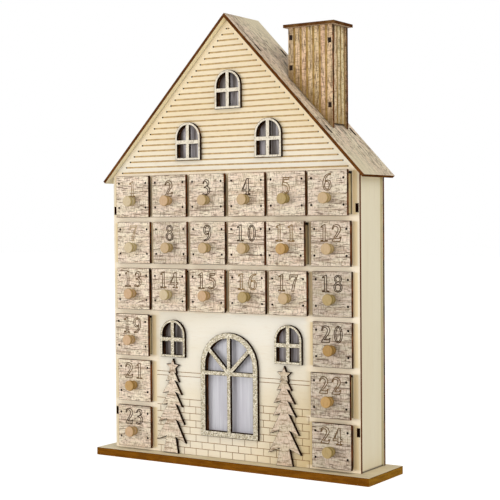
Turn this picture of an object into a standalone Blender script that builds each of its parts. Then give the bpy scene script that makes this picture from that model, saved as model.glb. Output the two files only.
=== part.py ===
"""Light-up advent calendar: a gabled plywood house with twenty-four small drawers.

Run with: blender --background --python part.py
Metres, +Z up. The front faces -Y, and the origin is the middle of the base board's underside.
"""

import math

import bmesh
import bpy
from mathutils import Vector

# Driving dimensions, in metres
PLY = 0.003
SEAT_GAP = 0.0003
JOINT_GAP = 0.0003
SHEET = 0.0005
UNION_OVERLAP = 0.0006
CUT_OVERRUN = 0.002
WELD_DISTANCE = 0.00001
MERGE_DISTANCE = 0.0001

# Base board
BASE_THICKNESS = 0.008
BASE_SIDE_OVERHANG = 0.0154
BASE_FRONT_OVERHANG = 0.0135
BASE_BACK_OVERHANG = 0.0065
BASE_EDGE_ROUND = 0.0006

# House walls
PANEL_WIDTH = 0.290
EAVE_HEIGHT = 0.2825
GABLE_HEIGHT = 0.4352
BODY_DEPTH = 0.0505
SIDE_INSET = 0.0009
SIDE_TENON_HEIGHT = 0.0079
SIDE_TENON_LOW = 0.0385
SIDE_TENON_DROP = 0.0349
LOW_TENON_RECESS = 0.0020

# Roof boards
ROOF_FRONT_OVERHANG = 0.0065
ROOF_BACK_OVERHANG = 0.0057
ROOF_EAVE_OVERHANG = 0.0062
ROOF_TAB_LENGTH = 0.0095
ROOF_TAB_UPPER_SHARE = 0.2194
ROOF_TAB_LOWER_SHARE = 0.7579

# Chimney
CHIMNEY_WIDTH = 0.0486
CHIMNEY_DEPTH = 0.0305
CHIMNEY_RISE = 0.0517
CHIMNEY_CENTRE_SHARE = 0.5972
CHIMNEY_SETBACK = 0.0120
CHIMNEY_CAP_OVERHANG = 0.0036
CHIMNEY_TENON_HEIGHT = 0.0042
CHIMNEY_TENONS_LEFT_SHARES = (0.8127, 0.2073)
CHIMNEY_TENONS_RIGHT_SHARES = (0.8418, 0.1843)

# Drawers
DRAWER_COLUMNS = 6
DRAWER_ROWS = 6
FULL_ROWS = 3
COLUMN_MARGIN = 0.0046
ROW_FOOT = 0.0031
PLATE_HEAD_LAP = 0.0007
PLATE_GAP_X = 0.0046
PLATE_GAP_Z = 0.0049
PANEL_BAR_X = 0.0062
PANEL_BAR_Z = 0.0077
TRAY_SIDE_GAP = 0.0005
TRAY_TOP_GAP = 0.0024
TRAY_BACK_GAP = 0.0035
DRAWER_PULLS = (0.0015, 0.0015, 0.0020, 0.0018, 0.0040, 0.0075, 0.0, 0.0005, 0.0010, 0.0025, 0.0065, 0.0022,
                0.0015, 0.0030, 0.0025, 0.0015, 0.0025, 0.0, 0.0040, 0.0, 0.0010, 0.0045, 0.0015, 0.0025)

# Drawer knob, turned
KNOB_LENGTH = 0.0094
KNOB_RADIUS = 0.0054
KNOB_DROP = 0.0048
KNOB_SIDES = 16
KNOB_PROFILE_SHARES = ((0.0, 1.0), (0.84, 0.98), (1.0, 0.87), (1.0, 0.68), (0.70, 0.52),
                       (0.62, 0.38), (0.82, 0.20), (0.76, 0.0))

# Windows
ARCH_STEPS = 14
SMALL_WINDOW_WIDTH = 0.0307
SMALL_WINDOW_HEIGHT = 0.0380
SMALL_WINDOW_RIM = 0.0026
SMALL_WINDOW_BAR = 0.0043
SMALL_WINDOW_BAR_SHARE = 0.479
GABLE_WINDOW_X_SHARE = 0.3269
GABLE_WINDOW_SILL_SHARE = 0.0976
TOP_WINDOW_X = 0.0012
TOP_WINDOW_SILL_SHARE = 0.4198
LOWER_WINDOW_X_SHARE = 0.7308
LOWER_WINDOW_DROP = 0.0093
LARGE_WINDOW_WIDTH_SHARE = 0.3622
LARGE_WINDOW_DROP = 0.0196
LARGE_WINDOW_SILL = 0.0215
LARGE_WINDOW_RIM = 0.0058
LARGE_WINDOW_BAR = 0.0043
FAN_DROP = 0.0070
FAN_ANGLE = math.radians(45)
REVEAL_GAP = 0.0003

# Fir trees, as shares of half their width and of their height, from the trunk to the star
TREE_GAP = 0.0020
TREE_WIDTH_SHARE = 0.3863
TREE_LEFT_X_SHARE = -0.7671
TREE_RIGHT_X_SHARE = 0.6827
TREE_TILT = math.radians(2.1)
TREE_OUTLINE_SHARES = ((0.50, 0.0), (0.30, 0.173), (1.0, 0.117), (0.31, 0.354), (0.88, 0.312),
                       (0.27, 0.520), (0.70, 0.494), (0.225, 0.648), (0.65, 0.622),
                       (0.18, 0.767), (0.455, 0.753), (0.17, 0.853))
STAR_RADIUS_SHARE = 0.0883
STAR_INNER_SHARE = 0.45
STAR_POINTS = 5

# Frosted sheets behind the windows
ROOM_SHEET_MARGIN = 0.002
ATTIC_SHEET_MARGIN = 0.010
ATTIC_SHEET_RISE_SHARE = 0.7171

# Battery box and its cells, size AA
CELL_RADIUS = 0.0071
CELL_LENGTH = 0.0502
CELL_NUB_RADIUS = 0.00275
CELL_NUB_LENGTH = 0.0015
CELL_SIDES = 24
CELL_GAP = 0.0006
BOX_WALL = 0.0018
BOX_CENTRE_HEIGHT = 0.0290
FLANGE_WIDTH = 0.0032
FLANGE_THICKNESS = 0.0033
COVER_THICKNESS = 0.0024
COVER_TONGUE = 0.0011
COVER_LIP = 0.0010
COVER_FLOOR = 0.0006
COVER_OVERLAP = 0.0016
COVER_GRIP_PITCH = 0.0022
COVER_GRIP_WIDTH = 0.0010
COVER_GRIP_DEPTH = 0.0005
COVER_GRIP_COUNT = 4
SWITCH_BAY = 0.0120
SWITCH_WIDTH = 0.0044
SWITCH_LENGTH = 0.0062
SWITCH_TRAVEL = 0.0030
SWITCH_DEPTH = 0.0046
SWITCH_PROUD = 0.0012
SWITCH_GRIP = 0.0016

# Light string, held on the back panel all the way: its route by shares of the room and then of the gable
WIRE_RADIUS = 0.0007
WIRE_STEPS = 3
WIRE_BEVEL_RESOLUTION = 1
LAMP_RADIUS = 0.0024
LAMP_SEGMENTS = 10
LAMP_RINGS = 6
WIRE_NOTCH_WIDTH = 0.0050
WIRE_NOTCH_DEPTH = 0.0036
WIRE_NOTCH_X = 0.0110
WIRE_START_X = -0.0200
WIRE_LAMP_OFFSET = 0.0011
WIRE_ROOM_SHARES = ((-0.219, 0.065), (-0.256, 0.187), (-0.256, 0.228), (-0.470, 0.512), (-0.726, 0.715),
                    (-0.427, 0.837), (0.0, 0.685), (0.214, 0.451), (0.256, 0.228), (0.491, 0.390),
                    (0.726, 0.715), (0.449, 0.888), (0.171, 0.919))
WIRE_GABLE_SHARES = ((0.083, 0.016), (0.166, 0.154), (0.327, 0.219), (0.207, 0.377), (0.008, 0.540),
                     (-0.179, 0.390), (-0.327, 0.219))
LAMP_STOPS = (2, 4, 6, 8, 10, 18, 20, 22)

# Colours, linear
PLY_COLOUR = (0.78, 0.64, 0.44, 1.0)
PRINT_COLOUR = (0.60, 0.47, 0.36, 1.0)
DARK_PRINT_COLOUR = (0.42, 0.29, 0.18, 1.0)
BASE_COLOUR = (0.26, 0.13, 0.05, 1.0)
GLITTER_COLOUR = (0.62, 0.55, 0.36, 1.0)
WHITEWASH_COLOUR = (0.72, 0.66, 0.58, 1.0)
SHEET_COLOUR = (0.80, 0.78, 0.84, 1.0)
PLASTIC_COLOUR = (0.03, 0.03, 0.03, 1.0)
CELL_COLOUR = (0.55, 0.42, 0.20, 1.0)
WIRE_COLOUR = (0.70, 0.72, 0.70, 1.0)

# Places that follow from the driving dimensions
BASE_WIDTH = PANEL_WIDTH + 2 * BASE_SIDE_OVERHANG
BASE_DEPTH = BODY_DEPTH + BASE_FRONT_OVERHANG + BASE_BACK_OVERHANG
FLOOR = BASE_THICKNESS
FRONT = BASE_FRONT_OVERHANG - BASE_DEPTH / 2
BACK = FRONT + BODY_DEPTH
INNER_FRONT = FRONT + PLY
INNER_BACK = BACK - PLY
HALF_WIDTH = PANEL_WIDTH / 2
PANEL_FOOT = SEAT_GAP
GABLE_RISE = GABLE_HEIGHT - EAVE_HEIGHT
SLOPE = math.atan2(GABLE_RISE, HALF_WIDTH)
SLOPE_LENGTH = HALF_WIDTH / math.cos(SLOPE)
ROOF_TAB_UPPER = ROOF_TAB_UPPER_SHARE * SLOPE_LENGTH
ROOF_TAB_LOWER = ROOF_TAB_LOWER_SHARE * SLOPE_LENGTH
RAIL_FRONT = INNER_FRONT + SEAT_GAP
RAIL_BACK = INNER_BACK - SEAT_GAP
RAIL_MIDDLE = (RAIL_FRONT + RAIL_BACK) / 2
SIDE_INNER_X = HALF_WIDTH - SIDE_INSET - PLY
SIDE_TENON_HIGH = EAVE_HEIGHT - SIDE_TENON_DROP
DIVIDER_TOP = EAVE_HEIGHT
FAR_COLUMN = DRAWER_COLUMNS / 2
FRAME_BACK = FRONT - SEAT_GAP
COLUMN_PITCH = (PANEL_WIDTH - 2 * COLUMN_MARGIN) / DRAWER_COLUMNS
ROW_PITCH = (EAVE_HEIGHT + PLATE_HEAD_LAP + PLATE_GAP_Z - ROW_FOOT) / DRAWER_ROWS
PLATE_WIDTH = COLUMN_PITCH - PLATE_GAP_X
PLATE_HEIGHT = ROW_PITCH - PLATE_GAP_Z
OPENING_WIDTH = COLUMN_PITCH - PANEL_BAR_X
OPENING_HEIGHT = ROW_PITCH - PANEL_BAR_Z
LOWEST_ROW = ROW_FOOT + PLATE_HEIGHT / 2
ROOM_TOP = ROW_FOOT + (DRAWER_ROWS - FULL_ROWS) * ROW_PITCH
ROOM_WALL_X = (FAR_COLUMN - 1) * COLUMN_PITCH
CHIMNEY_LEFT = CHIMNEY_CENTRE_SHARE * HALF_WIDTH - CHIMNEY_WIDTH / 2
CHIMNEY_RIGHT = CHIMNEY_LEFT + CHIMNEY_WIDTH
CHIMNEY_TOP = GABLE_HEIGHT - CHIMNEY_LEFT * math.tan(SLOPE) + CHIMNEY_RISE
SMALL_WINDOW_BAR_HEIGHT = SMALL_WINDOW_BAR_SHARE * SMALL_WINDOW_HEIGHT
GABLE_WINDOW_X = GABLE_WINDOW_X_SHARE * HALF_WIDTH
GABLE_WINDOW_SILL = EAVE_HEIGHT + GABLE_WINDOW_SILL_SHARE * GABLE_RISE
TOP_WINDOW_SILL = EAVE_HEIGHT + TOP_WINDOW_SILL_SHARE * GABLE_RISE
LOWER_WINDOW_X = LOWER_WINDOW_X_SHARE * ROOM_WALL_X
LOWER_WINDOW_SILL = ROOM_TOP - LOWER_WINDOW_DROP - SMALL_WINDOW_HEIGHT
LARGE_WINDOW_WIDTH = LARGE_WINDOW_WIDTH_SHARE * 2 * ROOM_WALL_X
LARGE_WINDOW_HEIGHT = ROOM_TOP - LARGE_WINDOW_DROP - LARGE_WINDOW_SILL
LARGE_WINDOW_BAR_HEIGHT = LARGE_WINDOW_HEIGHT - LARGE_WINDOW_WIDTH / 2 - FAN_DROP
TREE_HEIGHT = LOWER_WINDOW_SILL - TREE_GAP
TREE_WIDTH = TREE_WIDTH_SHARE * TREE_HEIGHT
STAR_RADIUS = STAR_RADIUS_SHARE * TREE_HEIGHT
TREE_LEFT_X = TREE_LEFT_X_SHARE * ROOM_WALL_X
TREE_RIGHT_X = TREE_RIGHT_X_SHARE * ROOM_WALL_X
ATTIC_SHEET_TOP = EAVE_HEIGHT + ATTIC_SHEET_RISE_SHARE * GABLE_RISE


def collection(name):
    """Adds a collection to the scene."""
    result = bpy.data.collections.new(name)
    bpy.context.scene.collection.children.link(result)
    return result


def material(name, colour, roughness, metallic=0.0):
    """One Principled material."""
    result = bpy.data.materials.new(name)
    result.use_nodes = True
    shader = result.node_tree.nodes["Principled BSDF"]
    shader.inputs["Base Color"].default_value = colour
    shader.inputs["Roughness"].default_value = roughness
    shader.inputs["Metallic"].default_value = metallic
    result.diffuse_color = colour
    return result


def add_object(name, mesh, home, location=(0, 0, 0), rotation=(0, 0, 0)):
    """Places a mesh as a named object in a collection."""
    result = bpy.data.objects.new(name, mesh)
    home.objects.link(result)
    result.location = location
    result.rotation_euler = rotation
    return result


def hide_cutter(cutter):
    """Keeps a cutter out of the build."""
    cutter.hide_render = True
    cutter.display_type = "WIRE"


def evaluated_mesh(source):
    """The mesh of an object with its modifiers, or of a curve."""
    graph = bpy.context.evaluated_depsgraph_get()
    return bpy.data.meshes.new_from_object(source.evaluated_get(graph))


def weld(mesh):
    """Joins loose caps and turns every face outwards."""
    work = bmesh.new()
    work.from_mesh(mesh)
    bmesh.ops.remove_doubles(work, verts=work.verts, dist=WELD_DISTANCE)
    bmesh.ops.recalc_face_normals(work, faces=work.faces)
    work.to_mesh(mesh)
    work.free()


def flat_mesh(name, loops, thickness):
    """A flat sheet from closed outlines in local X and Y; inner outlines are holes."""
    curve = bpy.data.curves.new(name, "CURVE")
    curve.dimensions = "2D"
    curve.fill_mode = "BOTH"
    curve.extrude = thickness / 2
    for loop in loops:
        spline = curve.splines.new("POLY")
        spline.points.add(len(loop) - 1)
        for point, (x, y) in zip(spline.points, loop):
            point.co = (x, y, 0, 1)
        spline.use_cyclic_u = True
    holder = bpy.data.objects.new(name, curve)
    bpy.context.scene.collection.objects.link(holder)
    mesh = evaluated_mesh(holder)
    mesh.name = name
    bpy.data.objects.remove(holder)
    weld(mesh)
    return mesh


def box_mesh(name, size):
    """A box about its own middle."""
    work = bmesh.new()
    bmesh.ops.create_cube(work, size=1.0)
    bmesh.ops.scale(work, vec=size, verts=work.verts)
    mesh = bpy.data.meshes.new(name)
    work.to_mesh(mesh)
    work.free()
    return mesh


def box_between(name, low, high, home):
    """A box object between two opposite corners."""
    low = Vector(low)
    high = Vector(high)
    return add_object(name, box_mesh(name, high - low), home, location=(low + high) / 2)


def boolean(target, other, operation):
    """Cuts or joins with another object, which becomes a guide."""
    modifier = target.modifiers.new(operation.title(), "BOOLEAN")
    modifier.operation = operation
    modifier.solver = "EXACT"
    modifier.object = other
    hide_cutter(other)


def shade_round(mesh, angle=math.radians(40)):
    """Smooth shading with sharp edges past an angle."""
    mesh.shade_smooth()
    mesh.set_sharp_from_angle(angle=angle)


def facing_front(outline_y):
    """Rotation and place of a sheet whose outline is in X and Z, with its middle at a depth."""
    return {"location": (0, outline_y, FLOOR), "rotation": (math.radians(90), 0, 0)}


def facing_side(outline_x):
    """Rotation and place of a sheet whose outline is in Y and Z, with its middle at an X."""
    return {"location": (outline_x, 0, FLOOR), "rotation": (math.radians(90), 0, math.radians(90))}


def rectangle(left, bottom, right, top):
    """Corners of a rectangle."""
    return [(left, bottom), (right, bottom), (right, top), (left, top)]


def arch(width, height, sill, centre_x, inset=0.0):
    """A round-topped outline, drawn in by an inset."""
    radius = width / 2 - inset
    spring = sill + height - width / 2
    points = [(centre_x - radius, sill + inset), (centre_x + radius, sill + inset)]
    for step in range(ARCH_STEPS + 1):
        angle = math.pi * step / ARCH_STEPS
        points.append((centre_x + radius * math.cos(angle), spring + radius * math.sin(angle)))
    return points


def column_x(column):
    """Middle of a drawer column, counted from the left."""
    return (column + 0.5 - FAR_COLUMN) * COLUMN_PITCH


def row_z(row):
    """Middle of a drawer row above the base, counted from the top."""
    return LOWEST_ROW + (DRAWER_ROWS - 1 - row) * ROW_PITCH


def shelf_top(row):
    """Top of the shelf that carries a row of drawers."""
    return row_z(row) - OPENING_HEIGHT / 2


def drawer_places():
    """Column and row of each drawer, in the order of their numbers."""
    places = []
    for row in range(FULL_ROWS):
        for column in range(DRAWER_COLUMNS):
            places.append((column, row))
    for row in range(FULL_ROWS, DRAWER_ROWS):
        places.append((0, row))
        places.append((DRAWER_COLUMNS - 1, row))
    return places


def slope_point(distance, rise):
    """A point of the right-hand slope: distance down from the ridge, rise square to it."""
    x = distance * math.cos(SLOPE) + rise * math.sin(SLOPE)
    z = GABLE_HEIGHT - distance * math.sin(SLOPE) + rise * math.cos(SLOPE)
    return (x, z)


def roof_height(x):
    """Height of the wall's slope above the base, at a distance from the middle."""
    return GABLE_HEIGHT - abs(x) * math.tan(SLOPE)


def mirrored(points):
    """Closes a right half outline with its mirror image, top first."""
    mirror = [(-x, z) for (x, z) in reversed(points) if x > 0]
    return points + mirror


def gable_loops():
    """Outline of the front and back panels with the roof tabs, and the holes for the side tenons."""
    tab_rise = SEAT_GAP + PLY
    points = [(HALF_WIDTH, PANEL_FOOT), (HALF_WIDTH, EAVE_HEIGHT)]
    for tab in (ROOF_TAB_LOWER, ROOF_TAB_UPPER):
        points.append(slope_point(tab + ROOF_TAB_LENGTH / 2, 0))
        points.append(slope_point(tab + ROOF_TAB_LENGTH / 2, tab_rise))
        points.append(slope_point(tab - ROOF_TAB_LENGTH / 2, tab_rise))
        points.append(slope_point(tab - ROOF_TAB_LENGTH / 2, 0))
    points.append((0, GABLE_HEIGHT))
    loops = [mirrored(points)]
    near = SIDE_INNER_X - JOINT_GAP
    far = SIDE_INNER_X + PLY + JOINT_GAP
    half_hole = SIDE_TENON_HEIGHT / 2 + JOINT_GAP
    for tenon in (SIDE_TENON_LOW, SIDE_TENON_HIGH):
        loops.append(rectangle(near, tenon - half_hole, far, tenon + half_hole))
        loops.append(rectangle(-far, tenon - half_hole, -near, tenon + half_hole))
    return loops


def small_windows():
    """Name, middle and sill of each small window."""
    return (
        ("gable_window_left", -GABLE_WINDOW_X, GABLE_WINDOW_SILL),
        ("gable_window_right", GABLE_WINDOW_X, GABLE_WINDOW_SILL),
        ("gable_window_top", TOP_WINDOW_X, TOP_WINDOW_SILL),
        ("lower_window_left", -LOWER_WINDOW_X, LOWER_WINDOW_SILL),
        ("lower_window_right", LOWER_WINDOW_X, LOWER_WINDOW_SILL),
    )


def make_base(parts, finish):
    """The base board, with its edges just broken."""
    low = (-BASE_WIDTH / 2, -BASE_DEPTH / 2, 0)
    high = (BASE_WIDTH / 2, BASE_DEPTH / 2, BASE_THICKNESS)
    board = box_between("base_board", low, high, parts)
    bevel = board.modifiers.new("Bevel", "BEVEL")
    bevel.width = BASE_EDGE_ROUND
    bevel.segments = 2
    board.data.materials.append(finish)


def make_front_panel(parts, finish):
    """The front wall: drawer openings, window openings, tenon holes and roof tabs."""
    loops = gable_loops()
    for column, row in drawer_places():
        x = column_x(column)
        z = row_z(row)
        loops.append(rectangle(x - OPENING_WIDTH / 2, z - OPENING_HEIGHT / 2,
                               x + OPENING_WIDTH / 2, z + OPENING_HEIGHT / 2))
    for _, x, sill in small_windows():
        loops.append(arch(SMALL_WINDOW_WIDTH, SMALL_WINDOW_HEIGHT, sill, x,
                          SMALL_WINDOW_RIM - REVEAL_GAP))
    loops.append(arch(LARGE_WINDOW_WIDTH, LARGE_WINDOW_HEIGHT, LARGE_WINDOW_SILL, 0,
                      LARGE_WINDOW_RIM - REVEAL_GAP))
    mesh = flat_mesh("front_panel", loops, PLY)
    panel = add_object("front_panel", mesh, parts, **facing_front(FRONT + PLY / 2))
    panel.data.materials.append(finish)


def make_back_panel(parts, finish):
    """The back wall, with the opening that the battery box goes through."""
    low, high = box_body_span()
    opening = rectangle(low[0] - JOINT_GAP, low[2] - JOINT_GAP, high[0] + JOINT_GAP, high[2] + JOINT_GAP)
    mesh = flat_mesh("back_panel", gable_loops() + [opening], PLY)
    panel = add_object("back_panel", mesh, parts, **facing_front(BACK - PLY / 2))
    panel.data.materials.append(finish)


def make_side_panels(parts, finish):
    """The side walls, each with two tenons in the front panel and two in the back."""
    points = [(RAIL_FRONT, PANEL_FOOT), (RAIL_BACK, PANEL_FOOT)]
    tenons = ((SIDE_TENON_LOW, FRONT + LOW_TENON_RECESS), (SIDE_TENON_HIGH, FRONT))
    for tenon, _ in tenons:
        points.append((RAIL_BACK, tenon - SIDE_TENON_HEIGHT / 2))
        points.append((BACK, tenon - SIDE_TENON_HEIGHT / 2))
        points.append((BACK, tenon + SIDE_TENON_HEIGHT / 2))
        points.append((RAIL_BACK, tenon + SIDE_TENON_HEIGHT / 2))
    points.append((RAIL_BACK, EAVE_HEIGHT))
    points.append((RAIL_FRONT, EAVE_HEIGHT))
    for tenon, end in reversed(tenons):
        points.append((RAIL_FRONT, tenon + SIDE_TENON_HEIGHT / 2))
        points.append((end, tenon + SIDE_TENON_HEIGHT / 2))
        points.append((end, tenon - SIDE_TENON_HEIGHT / 2))
        points.append((RAIL_FRONT, tenon - SIDE_TENON_HEIGHT / 2))
    mesh = flat_mesh("side_panel", [points], PLY)
    mesh.materials.append(finish)
    middle = SIDE_INNER_X + PLY / 2
    add_object("side_panel_left", mesh, parts, **facing_side(-middle))
    add_object("side_panel_right", mesh, parts, **facing_side(middle))


def wire_notch():
    """Corners of the notch at a shelf's rear edge that the light string passes through."""
    left = WIRE_NOTCH_X - WIRE_NOTCH_WIDTH / 2
    right = WIRE_NOTCH_X + WIRE_NOTCH_WIDTH / 2
    floor = RAIL_BACK - WIRE_NOTCH_DEPTH
    return [(right, RAIL_BACK), (right, floor), (left, floor), (left, RAIL_BACK)]


def shelf_outline(divider_places):
    """A full-width shelf in X and Y, slotted from behind for the dividers it crosses."""
    end_x = SIDE_INNER_X - SEAT_GAP
    half_slot = PLY / 2 + JOINT_GAP
    slot_end = RAIL_MIDDLE - JOINT_GAP / 2
    points = [(-end_x, RAIL_FRONT), (end_x, RAIL_FRONT), (end_x, RAIL_BACK)]
    cuts = []
    for x in divider_places:
        cuts.append([(x + half_slot, RAIL_BACK), (x + half_slot, slot_end),
                     (x - half_slot, slot_end), (x - half_slot, RAIL_BACK)])
    cuts.append(wire_notch())
    cuts.sort(key=lambda cut: -cut[0][0])
    for cut in cuts:
        points.extend(cut)
    points.append((-end_x, RAIL_BACK))
    return points


def divider_outline(foot, rows):
    """A divider in Y and Z, slotted from the front for the shelves it crosses."""
    slot_end = RAIL_MIDDLE + JOINT_GAP / 2
    points = [(RAIL_BACK, foot), (RAIL_BACK, DIVIDER_TOP), (RAIL_FRONT, DIVIDER_TOP)]
    for row in rows:
        top = shelf_top(row) + JOINT_GAP
        bottom = shelf_top(row) - PLY - JOINT_GAP
        points.extend([(RAIL_FRONT, top), (slot_end, top), (slot_end, bottom), (RAIL_FRONT, bottom)])
    points.append((RAIL_FRONT, foot))
    return points


def inner_dividers():
    """X of each divider between the drawers of the full rows, without the room's walls."""
    last = FULL_ROWS - 1
    return [step * COLUMN_PITCH for step in range(-last, last + 1) if abs(step) < last]


def make_rack(parts, cutters, finish):
    """The egg-crate rack: shelves and dividers halved into each other, and the room's walls."""
    wall_x = ROOM_WALL_X
    inner = inner_dividers()
    crossings = {"shelf_upper": inner, "shelf_middle": inner, "room_ceiling": []}
    for row, name in enumerate(crossings):
        outline = shelf_outline([-wall_x] + crossings[name] + [wall_x])
        mesh = flat_mesh(name, [outline], PLY)
        shelf = add_object(name, mesh, parts, location=(0, 0, FLOOR + shelf_top(row) - PLY / 2))
        shelf.data.materials.append(finish)

    last = FULL_ROWS - 1
    foot = shelf_top(last) + SEAT_GAP
    mesh = flat_mesh("divider", [divider_outline(foot, range(last))], PLY)
    mesh.materials.append(finish)
    for name, x in zip(("divider_left", "divider_middle", "divider_right"), inner):
        add_object(name, mesh, parts, **facing_side(x))

    for name, side in (("rack_left", -1), ("rack_right", 1)):
        outline = divider_outline(PANEL_FOOT, range(FULL_ROWS))
        wall = add_object(name, flat_mesh(name, [outline], PLY), parts, **facing_side(side * wall_x))
        wall.data.materials.append(finish)
        for row in range(FULL_ROWS, DRAWER_ROWS):
            top = FLOOR + shelf_top(row)
            ends = sorted((side * (wall_x + PLY / 2 - UNION_OVERLAP), side * (SIDE_INNER_X - SEAT_GAP)))
            low = (ends[0], RAIL_FRONT, top - PLY)
            high = (ends[1], RAIL_BACK, top)
            shelf = box_between(name + "_shelf", low, high, cutters)
            boolean(wall, shelf, "UNION")


def roof_outline(side, top, end):
    """A roof board along its slope, with two slots for the front panel's tabs and two behind."""
    front = FRONT - ROOF_FRONT_OVERHANG
    back = BACK + ROOF_BACK_OVERHANG
    loops = [rectangle(min(side * top, side * end), front, max(side * top, side * end), back)]
    half_slot = ROOF_TAB_LENGTH / 2 + JOINT_GAP
    for tab in (ROOF_TAB_UPPER, ROOF_TAB_LOWER):
        for near, far in ((FRONT, INNER_FRONT), (INNER_BACK, BACK)):
            loops.append(rectangle(side * tab - half_slot, near - JOINT_GAP,
                                   side * tab + half_slot, far + JOINT_GAP))
    return loops


def make_roof(parts, finish):
    """Two roof boards; the right one runs over the left one's end at the ridge."""
    end = (HALF_WIDTH + ROOF_EAVE_OVERHANG) / math.cos(SLOPE)
    stack = SEAT_GAP + PLY
    right_top = -stack / math.sin(2 * SLOPE)
    left_top = max(0, stack / math.tan(2 * SLOPE))
    for name, side, top in (("roof_board_left", -1, left_top), ("roof_board_right", 1, right_top)):
        mesh = flat_mesh(name, roof_outline(side, top, end), PLY)
        rise = SEAT_GAP + PLY / 2
        location = (side * rise * math.sin(SLOPE), 0, FLOOR + GABLE_HEIGHT + rise * math.cos(SLOPE))
        board = add_object(name, mesh, parts, location=location, rotation=(0, side * SLOPE, 0))
        board.data.materials.append(finish)


def chimney_foot(x):
    """Height where the chimney meets the top of the right roof board."""
    stack = PLY + 2 * SEAT_GAP
    return roof_height(x) + stack / math.cos(SLOPE)


def chimney_side(middle, shares):
    """Middle of a side wall of the chimney, its foot, and its tenons from the top down."""
    foot = chimney_foot(middle - PLY / 2)
    return middle, foot, [foot + share * (CHIMNEY_TOP - foot) for share in shares]


def make_chimney(parts, finish):
    """Four chimney walls, the side ones tenoned through the others, and a cap."""
    left = CHIMNEY_LEFT
    right = CHIMNEY_RIGHT
    front = FRONT + CHIMNEY_SETBACK
    back = front + CHIMNEY_DEPTH
    half_hole = CHIMNEY_TENON_HEIGHT / 2 + JOINT_GAP
    sides = (chimney_side(left + PLY, CHIMNEY_TENONS_LEFT_SHARES),
             chimney_side(right - PLY, CHIMNEY_TENONS_RIGHT_SHARES))

    loops = [[(left, chimney_foot(left)), (right, chimney_foot(right)),
              (right, CHIMNEY_TOP), (left, CHIMNEY_TOP)]]
    for middle, _, tenons in sides:
        for tenon in tenons:
            loops.append(rectangle(middle - PLY / 2 - JOINT_GAP, tenon - half_hole,
                                   middle + PLY / 2 + JOINT_GAP, tenon + half_hole))
    mesh = flat_mesh("chimney_wall", loops, PLY)
    mesh.materials.append(finish)
    add_object("chimney_front", mesh, parts, **facing_front(front + PLY / 2))
    add_object("chimney_back", mesh, parts, **facing_front(back - PLY / 2))

    near = front + PLY + SEAT_GAP
    far = back - PLY - SEAT_GAP
    for name, (middle, foot, tenons) in zip(("chimney_left", "chimney_right"), sides):
        points = [(near, foot), (far, foot)]
        for tenon in reversed(tenons):
            low = tenon - CHIMNEY_TENON_HEIGHT / 2
            high = tenon + CHIMNEY_TENON_HEIGHT / 2
            points.extend([(far, low), (back, low), (back, high), (far, high)])
        points.extend([(far, CHIMNEY_TOP), (near, CHIMNEY_TOP)])
        for tenon in tenons:
            low = tenon - CHIMNEY_TENON_HEIGHT / 2
            high = tenon + CHIMNEY_TENON_HEIGHT / 2
            points.extend([(near, high), (front, high), (front, low), (near, low)])
        wall = add_object(name, flat_mesh(name, [points], PLY), parts, **facing_side(middle))
        wall.data.materials.append(finish)

    cap_low = (left - CHIMNEY_CAP_OVERHANG, front - CHIMNEY_CAP_OVERHANG, FLOOR + CHIMNEY_TOP + SEAT_GAP)
    cap_high = (right + CHIMNEY_CAP_OVERHANG, back + CHIMNEY_CAP_OVERHANG, cap_low[2] + PLY)
    cap = box_between("chimney_cap", cap_low, cap_high, parts)
    cap.data.materials.append(finish)


def make_small_windows(parts, cutters, finishes):
    """Five arched frames with a cross of glazing bars."""
    outer = arch(SMALL_WINDOW_WIDTH, SMALL_WINDOW_HEIGHT, 0, 0)
    inner = arch(SMALL_WINDOW_WIDTH, SMALL_WINDOW_HEIGHT, 0, 0, SMALL_WINDOW_RIM)
    holder = add_object("small_window", flat_mesh("small_window", [outer, inner], PLY), cutters)
    bar = SMALL_WINDOW_BAR / 2
    reach_x = SMALL_WINDOW_WIDTH / 2 - SMALL_WINDOW_RIM / 2
    reach_z = SMALL_WINDOW_HEIGHT - SMALL_WINDOW_RIM / 2
    cross = [(-bar, SMALL_WINDOW_RIM / 2), (bar, SMALL_WINDOW_RIM / 2),
             (bar, SMALL_WINDOW_BAR_HEIGHT - bar), (reach_x, SMALL_WINDOW_BAR_HEIGHT - bar),
             (reach_x, SMALL_WINDOW_BAR_HEIGHT + bar), (bar, SMALL_WINDOW_BAR_HEIGHT + bar),
             (bar, reach_z), (-bar, reach_z), (-bar, SMALL_WINDOW_BAR_HEIGHT + bar),
             (-reach_x, SMALL_WINDOW_BAR_HEIGHT + bar), (-reach_x, SMALL_WINDOW_BAR_HEIGHT - bar),
             (-bar, SMALL_WINDOW_BAR_HEIGHT - bar)]
    bars = add_object("small_window_bars", flat_mesh("small_window_bars", [cross], PLY), cutters)
    boolean(holder, bars, "UNION")
    shared = evaluated_mesh(holder)
    shared.name = "small_window_frame"
    hide_cutter(holder)
    for name, x, sill in small_windows():
        finish = finishes["glitter"] if name.startswith("lower") else finishes["whitewash"]
        place = facing_front(FRAME_BACK - PLY / 2)
        place["location"] = (x, place["location"][1], FLOOR + sill)
        window = add_object(name, shared.copy(), parts, **place)
        window.data.materials.append(finish)


def bar_loop(start, end, width):
    """A straight glazing bar between two points."""
    along = (Vector(end) - Vector(start)).normalized()
    side = Vector((-along.y, along.x)) * (width / 2)
    return [tuple(Vector(start) - side), tuple(Vector(end) - side), tuple(Vector(end) + side),
            tuple(Vector(start) + side)]


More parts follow.
